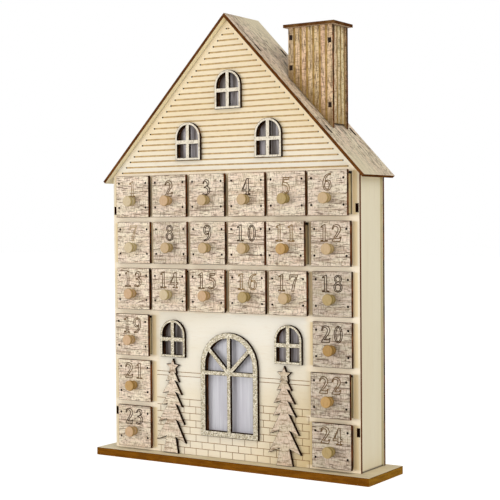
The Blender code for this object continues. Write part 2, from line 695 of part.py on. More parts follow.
def make_large_window(parts, cutters, finish):
    """The large arched frame: a transom, a mullion and a fan of two slanted bars."""
    outer = arch(LARGE_WINDOW_WIDTH, LARGE_WINDOW_HEIGHT, 0, 0)
    inner = arch(LARGE_WINDOW_WIDTH, LARGE_WINDOW_HEIGHT, 0, 0, LARGE_WINDOW_RIM)
    mesh = flat_mesh("large_window_frame", [outer, inner], PLY)
    place = facing_front(FRAME_BACK - PLY / 2)
    place["location"] = (0, place["location"][1], FLOOR + LARGE_WINDOW_SILL)
    frame = add_object("large_window_frame", mesh, parts, **place)
    frame.data.materials.append(finish)

    radius = LARGE_WINDOW_WIDTH / 2 - LARGE_WINDOW_RIM / 2
    spring = LARGE_WINDOW_HEIGHT - LARGE_WINDOW_WIDTH / 2
    hub = LARGE_WINDOW_BAR_HEIGHT
    drop = spring - hub
    reach = drop * math.sin(FAN_ANGLE) + math.sqrt(radius ** 2 - (drop * math.cos(FAN_ANGLE)) ** 2)
    fan_x = reach * math.cos(FAN_ANGLE)
    fan_z = hub + reach * math.sin(FAN_ANGLE)
    rim = LARGE_WINDOW_RIM / 2
    loops = {
        "mullion": bar_loop((0, rim), (0, LARGE_WINDOW_HEIGHT - rim), LARGE_WINDOW_BAR),
        "transom": bar_loop((-radius, hub), (radius, hub), LARGE_WINDOW_BAR),
        "fan_left": bar_loop((0, hub), (-fan_x, fan_z), LARGE_WINDOW_BAR),
        "fan_right": bar_loop((0, hub), (fan_x, fan_z), LARGE_WINDOW_BAR),
    }
    for name, loop in loops.items():
        bar = add_object("large_window_" + name, flat_mesh(name, [loop], PLY), cutters, **place)
        boolean(frame, bar, "UNION")


def star_half():
    """Right half of the star, from its lower right point up to its top."""
    points = []
    turn = math.pi / STAR_POINTS
    for step in range(2 * (STAR_POINTS // 2), -1, -1):
        radius = STAR_RADIUS if step % 2 == 0 else STAR_RADIUS * STAR_INNER_SHARE
        angle = math.pi / 2 - step * turn
        points.append((radius * math.cos(angle), radius * math.sin(angle)))
    points[-1] = (0, STAR_RADIUS)
    return points


def make_trees(parts, finish):
    """Two fir trees with stars, standing on the base against the front panel."""
    points = [(across * TREE_WIDTH / 2, up * TREE_HEIGHT) for across, up in TREE_OUTLINE_SHARES]
    star_centre = TREE_HEIGHT - STAR_RADIUS
    points.extend((x, star_centre + z) for x, z in star_half())
    mesh = flat_mesh("tree", [mirrored(points)], PLY)
    mesh.materials.append(finish)
    half_trunk = TREE_OUTLINE_SHARES[0][0] * TREE_WIDTH / 2
    for name, x, tilt in (("tree_left", TREE_LEFT_X, TREE_TILT), ("tree_right", TREE_RIGHT_X, 0)):
        place = facing_front(FRAME_BACK - PLY / 2)
        lift = SEAT_GAP + half_trunk * math.sin(tilt)
        place["location"] = (x, place["location"][1], FLOOR + lift)
        place["rotation"] = (math.radians(90), tilt, 0)
        add_object(name, mesh, parts, **place)


def make_sheets(parts, finish):
    """Frosted sheets behind the room's windows and the gable's windows."""
    middle = INNER_FRONT + SEAT_GAP + SHEET / 2
    half_room = ROOM_WALL_X - PLY / 2 - ROOM_SHEET_MARGIN
    room_top = shelf_top(FULL_ROWS - 1) - PLY - ROOM_SHEET_MARGIN
    room = [rectangle(-half_room, SEAT_GAP, half_room, room_top)]
    half_low = (GABLE_HEIGHT - DIVIDER_TOP - SEAT_GAP) / math.tan(SLOPE) - ATTIC_SHEET_MARGIN
    half_high = (GABLE_HEIGHT - ATTIC_SHEET_TOP) / math.tan(SLOPE) - ATTIC_SHEET_MARGIN
    attic = [[(-half_low, DIVIDER_TOP + SEAT_GAP), (half_low, DIVIDER_TOP + SEAT_GAP),
              (half_high, ATTIC_SHEET_TOP), (-half_high, ATTIC_SHEET_TOP)]]
    for name, loops in (("room_sheet", room), ("attic_sheet", attic)):
        sheet = add_object(name, flat_mesh(name, loops, SHEET), parts, **facing_front(middle))
        sheet.data.materials.append(finish)


def knob_object(home):
    """The turned knob: a domed head, a waist and a flared foot, along local +Z."""
    mesh = bpy.data.meshes.new("knob")
    work = bmesh.new()
    previous = None
    rows = [(across * KNOB_RADIUS, up * KNOB_LENGTH) for across, up in KNOB_PROFILE_SHARES]
    rows.append((rows[-1][0], -UNION_OVERLAP))
    rows.append((0, -UNION_OVERLAP))
    for radius, height in rows:
        vertex = work.verts.new((radius, 0, height))
        if previous is not None:
            work.edges.new((previous, vertex))
        previous = vertex
    work.to_mesh(mesh)
    work.free()
    knob = add_object("knob", mesh, home, rotation=(math.radians(90), 0, 0))
    screw = knob.modifiers.new("Screw", "SCREW")
    screw.steps = KNOB_SIDES
    screw.render_steps = KNOB_SIDES
    screw.use_merge_vertices = True
    screw.merge_threshold = MERGE_DISTANCE
    screw.use_normal_calculate = True
    return knob


def make_drawers(parts, cutters, finish):
    """Twenty-four drawers: a tray, its front plate and a turned knob each."""
    tray_width = OPENING_WIDTH - 2 * TRAY_SIDE_GAP
    tray_low = -OPENING_HEIGHT / 2 + SEAT_GAP
    tray_high = OPENING_HEIGHT / 2 - TRAY_TOP_GAP
    plate_back = -SEAT_GAP
    plate_front = plate_back - PLY
    tray_back = BODY_DEPTH - PLY - TRAY_BACK_GAP

    plate = box_between("drawer_plate", (-PLATE_WIDTH / 2, plate_front, -PLATE_HEIGHT / 2),
                        (PLATE_WIDTH / 2, plate_back, PLATE_HEIGHT / 2), cutters)
    tray = box_between("drawer_tray", (-tray_width / 2, plate_back - UNION_OVERLAP, tray_low),
                       (tray_width / 2, tray_back, tray_high), cutters)
    hollow = box_between("drawer_hollow", (-tray_width / 2 + PLY, plate_back + PLY, tray_low + PLY),
                         (tray_width / 2 - PLY, tray_back - PLY, tray_high + CUT_OVERRUN), cutters)
    knob = knob_object(cutters)
    knob.location = (0, plate_front, -KNOB_DROP)
    boolean(tray, hollow, "DIFFERENCE")
    boolean(plate, tray, "UNION")
    boolean(plate, knob, "UNION")
    shared = evaluated_mesh(plate)
    shared.name = "drawer"
    shared.materials.append(finish)
    shade_round(shared)
    hide_cutter(plate)
    for number, ((column, row), pull) in enumerate(zip(drawer_places(), DRAWER_PULLS), start=1):
        location = (column_x(column), FRONT + plate.location.y - pull, FLOOR + row_z(row))
        add_object("drawer_%02d" % number, shared, parts, location=location)


def cell_bay_half():
    """Half the length and half the height of the hollow that the two cells lie in."""
    half_length = CELL_LENGTH / 2 + SEAT_GAP
    half_height = 2 * CELL_RADIUS + CELL_GAP / 2 + SEAT_GAP
    return half_length, half_height


def bay_centre_x():
    """X of the cells' middle: the switch's bay lies beside them."""
    return SWITCH_BAY / 2


def cover_inner_y():
    """Y of the cover's inner face."""
    return BACK + SEAT_GAP + COVER_FLOOR + SEAT_GAP


def box_floor_y():
    """Y of the cell bay's floor, deep inside the house."""
    return BACK + COVER_FLOOR - 2 * CELL_RADIUS - SEAT_GAP


def box_body_span():
    """Opposite corners of the battery box's body above the base, without its flange."""
    half_length, half_height = cell_bay_half()
    left = bay_centre_x() - half_length - BOX_WALL - SWITCH_BAY
    right = bay_centre_x() + half_length + BOX_WALL
    low = (left, box_floor_y() - BOX_WALL, BOX_CENTRE_HEIGHT - half_height - BOX_WALL)
    high = (right, BACK + SEAT_GAP, BOX_CENTRE_HEIGHT + half_height + BOX_WALL)
    return low, high


def cover_profile(clearance):
    """The cover's stepped section in Y and Z: a wide tongue layer under a narrower top."""
    _, half_height = cell_bay_half()
    inner = cover_inner_y()
    half_top = half_height + COVER_OVERLAP
    half_tongue = half_top + COVER_LIP
    step = inner + COVER_TONGUE
    outer = inner + COVER_THICKNESS
    near = inner - clearance
    past = outer + (CUT_OVERRUN if clearance else 0)
    return [(near, -half_tongue - clearance), (step + clearance, -half_tongue - clearance),
            (step + clearance, -half_top - clearance), (past, -half_top - clearance),
            (past, half_top + clearance), (step + clearance, half_top + clearance),
            (step + clearance, half_tongue + clearance), (near, half_tongue + clearance)]


def make_battery_box(parts, cutters, finish):
    """The box through the back panel: cell bay, cover slot open to the right, switch pocket."""
    low, high = box_body_span()
    half_length, half_height = cell_bay_half()
    lift = Vector((0, 0, FLOOR))
    body_high = (high[0], high[1] + UNION_OVERLAP, high[2])
    box = box_between("battery_box", Vector(low) + lift, Vector(body_high) + lift, parts)
    box.data.materials.append(finish)
    flange_low = (low[0] - FLANGE_WIDTH, high[1], low[2] - FLANGE_WIDTH)
    flange_high = (high[0] + FLANGE_WIDTH, high[1] + FLANGE_THICKNESS, high[2] + FLANGE_WIDTH)
    flange = box_between("battery_box_flange", Vector(flange_low) + lift, Vector(flange_high) + lift, cutters)
    boolean(box, flange, "UNION")

    centre = Vector((bay_centre_x(), 0, BOX_CENTRE_HEIGHT)) + lift
    bay_low = centre + Vector((-half_length, box_floor_y(), -half_height))
    bay_high = centre + Vector((half_length, high[1] + CUT_OVERRUN, half_height))
    boolean(box, box_between("cell_bay", bay_low, bay_high, cutters), "DIFFERENCE")

    slot_left = bay_centre_x() - half_length - COVER_OVERLAP
    slot_right = flange_high[0] + CUT_OVERRUN
    slot = flat_mesh("cover_slot", [cover_profile(SEAT_GAP)], slot_right - slot_left)
    slot_place = facing_side((slot_left + slot_right) / 2)
    slot_place["location"] = (slot_place["location"][0], 0, FLOOR + BOX_CENTRE_HEIGHT)
    boolean(box, add_object("cover_slot", slot, cutters, **slot_place), "DIFFERENCE")

    pocket_low, pocket_high = switch_span(SEAT_GAP, SWITCH_TRAVEL)
    pocket_high.y += CUT_OVERRUN
    boolean(box, box_between("switch_pocket", pocket_low, pocket_high, cutters), "DIFFERENCE")

    cover_left = slot_left + SEAT_GAP
    cover_right = flange_high[0]
    cover = flat_mesh("battery_cover", [cover_profile(0)], cover_right - cover_left)
    cover_place = facing_side((cover_left + cover_right) / 2)
    cover_place["location"] = (cover_place["location"][0], 0, FLOOR + BOX_CENTRE_HEIGHT)
    lid = add_object("battery_cover", cover, parts, **cover_place)
    lid.data.materials.append(finish)
    make_cover_grip(lid, cutters, cover_right, half_height)


def make_cover_grip(lid, cutters, cover_right, half_height):
    """Thumb grooves near the end of the cover that leaves the box last."""
    face = cover_inner_y() + COVER_THICKNESS
    for step in range(COVER_GRIP_COUNT):
        right = cover_right - FLANGE_WIDTH - step * COVER_GRIP_PITCH
        low = (right - COVER_GRIP_WIDTH, face - COVER_GRIP_DEPTH, FLOOR + BOX_CENTRE_HEIGHT - half_height / 2)
        high = (right, face + CUT_OVERRUN, FLOOR + BOX_CENTRE_HEIGHT + half_height / 2)
        boolean(lid, box_between("cover_grip_%d" % step, low, high, cutters), "DIFFERENCE")


def switch_span(clearance, travel):
    """Opposite corners of the slider in its pocket, or of the pocket with its travel."""
    half_length, _ = cell_bay_half()
    middle_x = bay_centre_x() - half_length - BOX_WALL - SWITCH_BAY / 2 - FLANGE_WIDTH / 2
    face = BACK + SEAT_GAP + FLANGE_THICKNESS
    low_z = FLOOR + BOX_CENTRE_HEIGHT - (SWITCH_LENGTH + SWITCH_TRAVEL) / 2
    half_width = SWITCH_WIDTH / 2 + clearance
    low = Vector((middle_x - half_width, face - SWITCH_DEPTH - clearance, low_z - clearance))
    high = Vector((middle_x + half_width, face + SWITCH_PROUD,
                   low_z + SWITCH_LENGTH + travel + clearance))
    return low, high


def make_switch(parts, cutters, finish):
    """The switch's slider, with a rib for the fingernail."""
    low, high = switch_span(0, 0)
    body_high = Vector((high.x, high.y - SWITCH_PROUD, high.z))
    slider = box_between("switch_slider", low, body_high, parts)
    slider.data.materials.append(finish)
    middle_z = (low.z + high.z) / 2
    rib_low = (low.x, body_high.y - UNION_OVERLAP, middle_z - SWITCH_GRIP / 2)
    rib_high = (high.x, high.y, middle_z + SWITCH_GRIP / 2)
    boolean(slider, box_between("switch_rib", rib_low, rib_high, cutters), "UNION")


def cell_mesh():
    """One cylindrical cell along local +Z with its contact nub."""
    mesh = bpy.data.meshes.new("cell")
    work = bmesh.new()
    can_end = CELL_LENGTH - CELL_NUB_LENGTH
    rows = [(0, CELL_LENGTH), (CELL_NUB_RADIUS, CELL_LENGTH), (CELL_NUB_RADIUS, can_end),
            (CELL_RADIUS, can_end), (CELL_RADIUS, 0), (0, 0)]
    vertices = [work.verts.new((radius, 0, height)) for radius, height in rows]
    for first, second in zip(vertices, vertices[1:]):
        work.edges.new((first, second))
    work.to_mesh(mesh)
    work.free()
    return mesh


def make_cells(parts, cutters, finish):
    """Two cells side by side, pointing opposite ways."""
    turned = add_object("cell", cell_mesh(), cutters)
    screw = turned.modifiers.new("Screw", "SCREW")
    screw.steps = CELL_SIDES
    screw.render_steps = CELL_SIDES
    screw.use_merge_vertices = True
    screw.merge_threshold = MERGE_DISTANCE
    screw.use_normal_calculate = True
    hide_cutter(turned)
    shared = evaluated_mesh(turned)
    shared.name = "battery"
    weld(shared)
    shared.materials.append(finish)
    shade_round(shared)
    offset = CELL_RADIUS + CELL_GAP / 2
    y = box_floor_y() + SEAT_GAP + CELL_RADIUS
    for name, side in (("battery_upper", 1), ("battery_lower", -1)):
        start = bay_centre_x() - side * CELL_LENGTH / 2
        location = (start, y, FLOOR + BOX_CENTRE_HEIGHT + side * offset)
        add_object(name, shared, parts, location=location, rotation=(0, side * math.radians(90), 0))


def wire_route():
    """The light string's own points: about the room, up through the shelves' notches, about the gable."""
    box_top = box_body_span()[1][2]
    room_height = shelf_top(FULL_ROWS - 1) - PLY - box_top
    route = [(across * ROOM_WALL_X, box_top + up * room_height) for across, up in WIRE_ROOM_SHARES]
    route.extend((WIRE_NOTCH_X, shelf_top(row)) for row in reversed(range(FULL_ROWS)))
    route.extend((across * HALF_WIDTH, EAVE_HEIGHT + up * GABLE_RISE) for across, up in WIRE_GABLE_SHARES)
    return route


def smooth_route():
    """Points along a smooth curve from the battery box through the light string's own points."""
    _, box_high = box_body_span()
    stops = [Vector((WIRE_START_X, box_high[2] + SEAT_GAP))]
    stops.extend(Vector(point) for point in wire_route())
    points = []
    for index in range(len(stops) - 1):
        before = stops[max(index - 1, 0)]
        start = stops[index]
        end = stops[index + 1]
        after = stops[min(index + 2, len(stops) - 1)]
        for step in range(WIRE_STEPS):
            t = step / WIRE_STEPS
            pull = (2 * start + (end - before) * t + (2 * before - 5 * start + 4 * end - after) * t ** 2
                    + (3 * start - before - 3 * end + after) * t ** 3) / 2
            points.append(pull)
    points.append(stops[-1])
    return points


def make_light_string(parts, cutters, finish):
    """A wire with small lamps on the back panel's inner face, from the box up to the gable."""
    depth = INNER_BACK - SEAT_GAP - LAMP_RADIUS
    curve = bpy.data.curves.new("light_string", "CURVE")
    curve.dimensions = "3D"
    curve.bevel_depth = WIRE_RADIUS
    curve.bevel_resolution = WIRE_BEVEL_RESOLUTION
    curve.use_fill_caps = True
    route = smooth_route()
    spline = curve.splines.new("POLY")
    spline.points.add(len(route) - 1)
    for point, place in zip(spline.points, route):
        point.co = (place.x, depth + WIRE_LAMP_OFFSET, FLOOR + place.y, 1)
    holder = bpy.data.objects.new("light_string_curve", curve)
    bpy.context.scene.collection.objects.link(holder)
    mesh = evaluated_mesh(holder)
    bpy.data.objects.remove(holder)
    weld(mesh)
    string = add_object("light_string", mesh, parts)
    string.data.materials.append(finish)
    for stop in LAMP_STOPS:
        x, z = wire_route()[stop]
        work = bmesh.new()
        bmesh.ops.create_uvsphere(work, u_segments=LAMP_SEGMENTS, v_segments=LAMP_RINGS, radius=LAMP_RADIUS)
        lamp = bpy.data.meshes.new("lamp")
        work.to_mesh(lamp)
        work.free()
        bead = add_object("lamp_%02d" % stop, lamp, cutters, location=(x, depth, FLOOR + z))
        boolean(string, bead, "UNION")


def main():
    for leftover in list(bpy.data.objects):
        bpy.data.objects.remove(leftover)
    parts = collection("advent_calendar")
    cutters = collection("cutters")
    plywood = material("plywood", PLY_COLOUR, 0.6)
    print_wood = material("printed_plywood", PRINT_COLOUR, 0.6)
    dark_print = material("dark_printed_plywood", DARK_PRINT_COLOUR, 0.6)
    fibreboard = material("fibreboard", BASE_COLOUR, 0.7)
    glitter = material("glitter_board", GLITTER_COLOUR, 0.4, 0.5)
    whitewash = material("whitewashed_plywood", WHITEWASH_COLOUR, 0.6)
    frosted = material("frosted_sheet", SHEET_COLOUR, 0.5)
    plastic = material("black_plastic", PLASTIC_COLOUR, 0.4)
    cell_finish = material("cell_jacket", CELL_COLOUR, 0.3, 0.6)
    wire_finish = material("clear_wire", WIRE_COLOUR, 0.3)

    make_base(parts, fibreboard)
    make_front_panel(parts, plywood)
    make_back_panel(parts, plywood)
    make_side_panels(parts, plywood)
    make_rack(parts, cutters, plywood)
    make_roof(parts, dark_print)
    make_chimney(parts, dark_print)
    make_small_windows(parts, cutters, {"glitter": glitter, "whitewash": whitewash})
    make_large_window(parts, cutters, glitter)
    make_trees(parts, whitewash)
    make_sheets(parts, frosted)
    make_drawers(parts, cutters, print_wood)
    make_battery_box(parts, cutters, plastic)
    make_switch(parts, cutters, plastic)
    make_cells(parts, cutters, cell_finish)
    make_light_string(parts, cutters, wire_finish)


main()
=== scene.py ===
"""Looks of the light-up advent calendar, on the frame of its CAD. Metres, +Z up, front at -Y."""

import math

import bmesh
import bpy
from mathutils import Matrix, Vector


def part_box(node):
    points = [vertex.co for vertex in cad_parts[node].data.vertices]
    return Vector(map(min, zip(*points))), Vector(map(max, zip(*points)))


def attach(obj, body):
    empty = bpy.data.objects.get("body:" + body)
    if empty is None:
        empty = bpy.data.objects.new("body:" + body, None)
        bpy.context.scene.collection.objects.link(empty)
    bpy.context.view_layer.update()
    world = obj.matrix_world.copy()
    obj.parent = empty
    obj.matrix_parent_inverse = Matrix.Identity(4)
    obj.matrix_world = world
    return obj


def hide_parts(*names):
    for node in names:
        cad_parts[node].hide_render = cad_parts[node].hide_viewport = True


# Sizes of the CAD part
PLY = 0.003
SEAT_GAP = 0.0003
BASE_THICKNESS = 0.008
FRONT = -0.02175
PANEL_WIDTH = 0.290
EAVE_HEIGHT = 0.2825
GABLE_HEIGHT = 0.4352
BODY_DEPTH = 0.0505
BACK = FRONT + BODY_DEPTH
FLOOR = BASE_THICKNESS
SLOPE = math.atan2(GABLE_HEIGHT - EAVE_HEIGHT, PANEL_WIDTH / 2)
COLUMN_PITCH = 0.0468
ROW_PITCH = 0.0475
LOWEST_ROW = 0.0244
COLUMNS = 6
ROWS = 6
FULL_ROWS = 3
PLATE_WIDTH = 0.0422
PLATE_HEIGHT = 0.0426
TRAY_WIDTH = 0.0380
TRAY_LOW = -0.0196
TRAY_HIGH = 0.0175
TRAY_BACK = 0.0440
DRAWER_PULLS = (0.0015, 0.0015, 0.0020, 0.0018, 0.0040, 0.0075, 0.0, 0.0005, 0.0010, 0.0025, 0.0065, 0.0022,
                0.0015, 0.0030, 0.0025, 0.0015, 0.0025, 0.0, 0.0040, 0.0, 0.0010, 0.0045, 0.0015, 0.0025)
CHIMNEY_LEFT = 0.0623
CHIMNEY_RIGHT = 0.1109
CHIMNEY_FRONT = FRONT + 0.0120
CHIMNEY_BACK = CHIMNEY_FRONT + 0.0305
CHIMNEY_TOP = 0.4213
CHIMNEY_FOOT = 0.315
CHIMNEY_X = (CHIMNEY_LEFT + CHIMNEY_RIGHT) / 2
CHIMNEY_Y = (CHIMNEY_FRONT + CHIMNEY_BACK) / 2

# Meshes
JOIN_LIMIT = 0.000001
FLAT_LIMIT = math.radians(0.5)
RIM_CHAMFER = 0.00035

# Engraving
CUT_OVERRUN = 0.001
SIDING_COUNT = 26
SIDING_FIRST = 0.2865
SIDING_PITCH = 0.00555
SIDING_INSET = 0.0080
SIDING_WIDTH = 0.00155
SIDING_DEPTH = 0.00045
SIDING_END_RADIUS = 0.00075
SIDING_END_DEPTH = 0.0010
BRICK_COURSES = 8
BRICK_HEIGHT = 0.0070
BRICK_LENGTH = 0.01465
BRICK_SHIFT = 0.0016
BRICK_HALF_WIDTH = 0.0905
BRICK_LINE = 0.00062
BRICK_DEPTH = 0.00035
BORDER_LINES = (0.0832, 0.0791)
CHIMNEY_GROOVE_PITCH = 0.0070
CHIMNEY_GROOVE_WIDTH = 0.0023
TENON_RIM = 0.0019
TENON_RIM_INSET = 0.0006
TENON_RIM_DEPTH = 0.0004
CHIMNEY_GROOVE_DEPTH = 0.0005
CHIMNEY_FRONT_GROOVES = 6
CHIMNEY_SIDE_GROOVES = 4
CHIMNEY_SIDE_REACH = EAVE_HEIGHT / 2

# Drawer numbers, pits and knobs
DIGIT_HEIGHT = 0.0156
DIGIT_WIDTH_SHARE = 0.56
DIGIT_LINE = 0.00095
DIGIT_STRETCH = 1.15
DIGIT_DEPTH = 0.00035
DIGIT_SPACING = 0.0134
DIGIT_RISE = 0.0100
LOW_NUMBERS = (1, 2, 3, 4, 5)
LOW_NUMBER_DROP = 0.0024
OVAL_STEPS = 28
PIT_X = 0.0172
PIT_HIGH = 0.0138
PIT_LOW = -0.0113
PIT_RADIUS = 0.00120
PIT_DEPTH = 0.0012
PIT_SIDES = 12
KNOB_LENGTH = 0.0094
KNOB_RADIUS = 0.0054
KNOB_DROP = 0.0048
KNOB_SIDES = 40

# The knob's profile, from its head to its foot: shares of its radius and of its length
KNOB_PROFILE_SHARES = ((0.60, 1.0), (0.88, 1.0), (0.935, 0.99), (0.975, 0.965), (1.0, 0.92), (1.0, 0.72),
                       (0.975, 0.67), (0.90, 0.635), (0.70, 0.60), (0.52, 0.56), (0.46, 0.49), (0.50, 0.41),
                       (0.66, 0.35), (0.79, 0.31), (0.84, 0.25), (0.84, 0.12), (0.78, 0.0))

# Outlines of the digits, as shares of the height: across, up, and 1 where the outline is smooth
DIGIT_OUTLINE_SHARES = {
    "1": ((0.09, 0, 0), (0.48, 0, 0), (0.48, 0.045, 0), (0.355, 0.065, 0), (0.355, 1, 0), (0.3, 1, 0),
          (0.105, 0.885, 0), (0.105, 0.835, 0), (0.225, 0.865, 0), (0.225, 0.065, 0), (0.09, 0.045, 0)),
    "2": ((0.03, 0, 0), (0.49, 0, 0), (0.545, 0.25, 0), (0.5, 0.25, 0), (0.455, 0.175, 1), (0.38, 0.155, 1),
          (0.185, 0.155, 0), (0.315, 0.33, 1), (0.44, 0.5, 1), (0.515, 0.66, 1), (0.515, 0.8, 1),
          (0.44, 0.94, 1), (0.28, 1, 1), (0.13, 0.95, 1), (0.05, 0.84, 1), (0.025, 0.73, 0),
          (0.08, 0.73, 0), (0.12, 0.84, 1), (0.22, 0.895, 1), (0.33, 0.85, 1), (0.375, 0.74, 1),
          (0.35, 0.6, 1), (0.26, 0.42, 1), (0.135, 0.22, 1), (0.03, 0.05, 0)),
    "3": ((0.055, 0.78, 0), (0.13, 0.93, 1), (0.27, 1, 1), (0.41, 0.94, 1), (0.46, 0.8, 1), (0.42, 0.67, 1),
          (0.34, 0.585, 0), (0.45, 0.5, 1), (0.51, 0.34, 1), (0.47, 0.16, 1), (0.34, 0.03, 1), (0.17, 0, 1),
          (0.06, 0.02, 1), (0.03, 0.075, 1), (0.075, 0.12, 1), (0.15, 0.095, 1), (0.24, 0.06, 1),
          (0.34, 0.12, 1), (0.385, 0.27, 1), (0.34, 0.42, 1), (0.24, 0.485, 1), (0.14, 0.48, 0),
          (0.14, 0.53, 0), (0.26, 0.57, 1), (0.335, 0.67, 1), (0.33, 0.8, 1), (0.24, 0.885, 1),
          (0.15, 0.86, 1), (0.105, 0.76, 0)),
    "4": ((0.34, 1, 0), (0.44, 1, 0), (0.44, 0.335, 0), (0.545, 0.335, 0), (0.545, 0.235, 0),
          (0.44, 0.235, 0), (0.44, 0.055, 0), (0.53, 0.045, 0), (0.53, 0, 0), (0.21, 0, 0),
          (0.21, 0.045, 0), (0.3, 0.055, 0), (0.3, 0.235, 0), (0.02, 0.235, 0), (0.02, 0.305, 0)),
    "5": ((0.12, 0.985, 0), (0.47, 0.985, 0), (0.43, 0.87, 0), (0.17, 0.87, 0), (0.145, 0.7, 0),
          (0.3, 0.665, 1), (0.43, 0.55, 1), (0.49, 0.36, 1), (0.45, 0.16, 1), (0.32, 0.03, 1), (0.16, 0, 1),
          (0.05, 0.025, 1), (0.03, 0.085, 1), (0.08, 0.125, 1), (0.16, 0.1, 1), (0.25, 0.065, 1),
          (0.34, 0.135, 1), (0.375, 0.3, 1), (0.33, 0.45, 1), (0.21, 0.53, 1), (0.06, 0.545, 0)),
    "6": ((0.49, 1, 0), (0.32, 0.965, 1), (0.17, 0.85, 1), (0.07, 0.66, 1), (0.03, 0.4, 1), (0.07, 0.15, 1),
          (0.17, 0.025, 1), (0.29, 0, 1), (0.42, 0.05, 1), (0.51, 0.2, 1), (0.51, 0.4, 1), (0.44, 0.55, 1),
          (0.33, 0.61, 1), (0.24, 0.585, 1), (0.165, 0.53, 0), (0.21, 0.73, 1), (0.32, 0.88, 1),
          (0.5, 0.945, 0)),
    "7": ((0.06, 0.985, 0), (0.53, 0.985, 0), (0.53, 0.935, 0), (0.41, 0.6, 1), (0.33, 0.27, 1),
          (0.3, 0, 0), (0.17, 0, 0), (0.22, 0.28, 1), (0.31, 0.58, 1), (0.44, 0.86, 0), (0.25, 0.865, 1),
          (0.13, 0.83, 1), (0.07, 0.72, 0), (0.02, 0.72, 0)),
    "8": ((0.28, 1, 1), (0.42, 0.95, 1), (0.49, 0.8, 1), (0.46, 0.66, 1), (0.37, 0.55, 0), (0.49, 0.43, 1),
          (0.525, 0.26, 1), (0.45, 0.07, 1), (0.28, 0, 1), (0.11, 0.07, 1), (0.035, 0.26, 1),
          (0.07, 0.43, 1), (0.19, 0.55, 0), (0.1, 0.66, 1), (0.07, 0.8, 1), (0.14, 0.95, 1)),
}
DIGIT_TRIANGLE_SHARES = ((0.3, 0.335, 0), (0.3, 0.8, 0), (0.095, 0.335, 0))

# Ovals in the digits: middle across, middle up, half width, half height
DIGIT_OVAL_SHARES = {
    "0": ((0.28, 0.5, 0.24, 0.5), (0.28, 0.5, 0.14, 0.42)),
    "6": ((0.275, 0.3, 0.145, 0.23),),
    "8": ((0.28, 0.775, 0.125, 0.155), (0.28, 0.27, 0.155, 0.2)),
}
OUTLINE_STEPS = 3
MITRE_LIMIT = 1.8

# Light and floor
WORLD_LEVEL = 0.52
KEY_PLACE = (-1.40, -2.25, 0.34)
KEY_SIZE = (2.4, 0.7)
KEY_POWER = 33.5
FILL_PLACE = (0.95, -0.55, 1.00)
FILL_SIZE = (0.9, 0.9)
FILL_POWER = 6.2
LIGHT_AIM = (0, 0, 0.22)
FLOOR_SIZE = 6
FLOOR_GLOW = 0.60

# Camera
CAMERA_PLACE = (0.698088, -1.065228, 0.246525)
CAMERA_YAW = 0.5734
CAMERA_PITCH = -0.0248
CAMERA_ROLL = -0.0081
SENSOR = 36.0
FOCAL_LENGTH = 91.614

# Colours, linear
WALL_PALE = (0.840, 0.785, 0.670)
WALL_WARM = (0.815, 0.740, 0.590)
# Amber that is the wall's own tone on the gable, bricks and drawers' field, and painted shade on the strips
# between drawer columns
WALL_AMBER_AND_SHADE = (0.780, 0.580, 0.280)
WALL_LINE = (0.700, 0.570, 0.400)
SIDE_PALE = (0.850, 0.765, 0.560)
SIDE_WARM = (0.820, 0.725, 0.510)
REAR_OLIVE = (0.470, 0.380, 0.155)
TENON_END = (0.010, 0.003, 0.001)
SCORCH_RED = (0.180, 0.060, 0.020)
SCORCH_DARK = (0.030, 0.014, 0.007)
SCORCH_PALE = (0.340, 0.170, 0.070)
LINE_BROWN = (0.260, 0.130, 0.050)
LINE_TAN = (0.400, 0.230, 0.095)
CAP_BROWN = (0.150, 0.075, 0.024)
OPENING_DARK = (0.050, 0.022, 0.010)
OPENING_RED = (0.130, 0.050, 0.020)
ROOF_BURN = (0.080, 0.026, 0.006)
ROOF_BURN_PALE = (0.150, 0.056, 0.014)
EAVE_PALE = (0.960, 0.850, 0.580)
EAVE_WARM = (0.930, 0.810, 0.520)
ROOF_WORN = (0.700, 0.610, 0.410)
# Painted shade: darker amber low on the right of the front, among the lower drawers
WALL_PAINTED_SHADE = (0.600, 0.450, 0.215)
# Painted light: a paler wall on the strips between drawer rows, where the plates shade it
WALL_PAINTED_LIGHT = (0.930, 0.800, 0.610)
CORNER_BURN = (0.130, 0.042, 0.014)
SIDING_TAN = (0.460, 0.295, 0.118)
SIDING_PALE = (0.600, 0.430, 0.205)
STACK_LINE = (0.290, 0.170, 0.045)
STACK_LINE_PALE = (0.460, 0.300, 0.095)
CHAR = (0.012, 0.006, 0.003)
LIMED_LIGHT = (0.895, 0.770, 0.620)
LIMED_MIDDLE = (0.630, 0.470, 0.325)
LIMED_DARK = (0.165, 0.100, 0.058)
ROOF_LIGHT = (0.800, 0.670, 0.500)
ROOF_MIDDLE = (0.530, 0.400, 0.260)
ROOF_DARK = (0.090, 0.062, 0.038)
STACK_BRIGHT = (0.900, 0.750, 0.520)
STACK_LIGHT = (0.760, 0.570, 0.400)
STACK_MIDDLE = (0.530, 0.370, 0.225)
STACK_SHADE = (0.760, 0.735, 0.650)
# Painted shade: dark brown at the chimney's foot by the roof
STACK_FOOT_SHADE = (0.235, 0.135, 0.038)
STACK_DARK = (0.120, 0.072, 0.034)
STACK_PINK = (1.000, 0.925, 0.880)
STACK_OLIVE = (0.940, 0.950, 0.800)
WHITEWASH_LIGHT = (0.810, 0.705, 0.570)
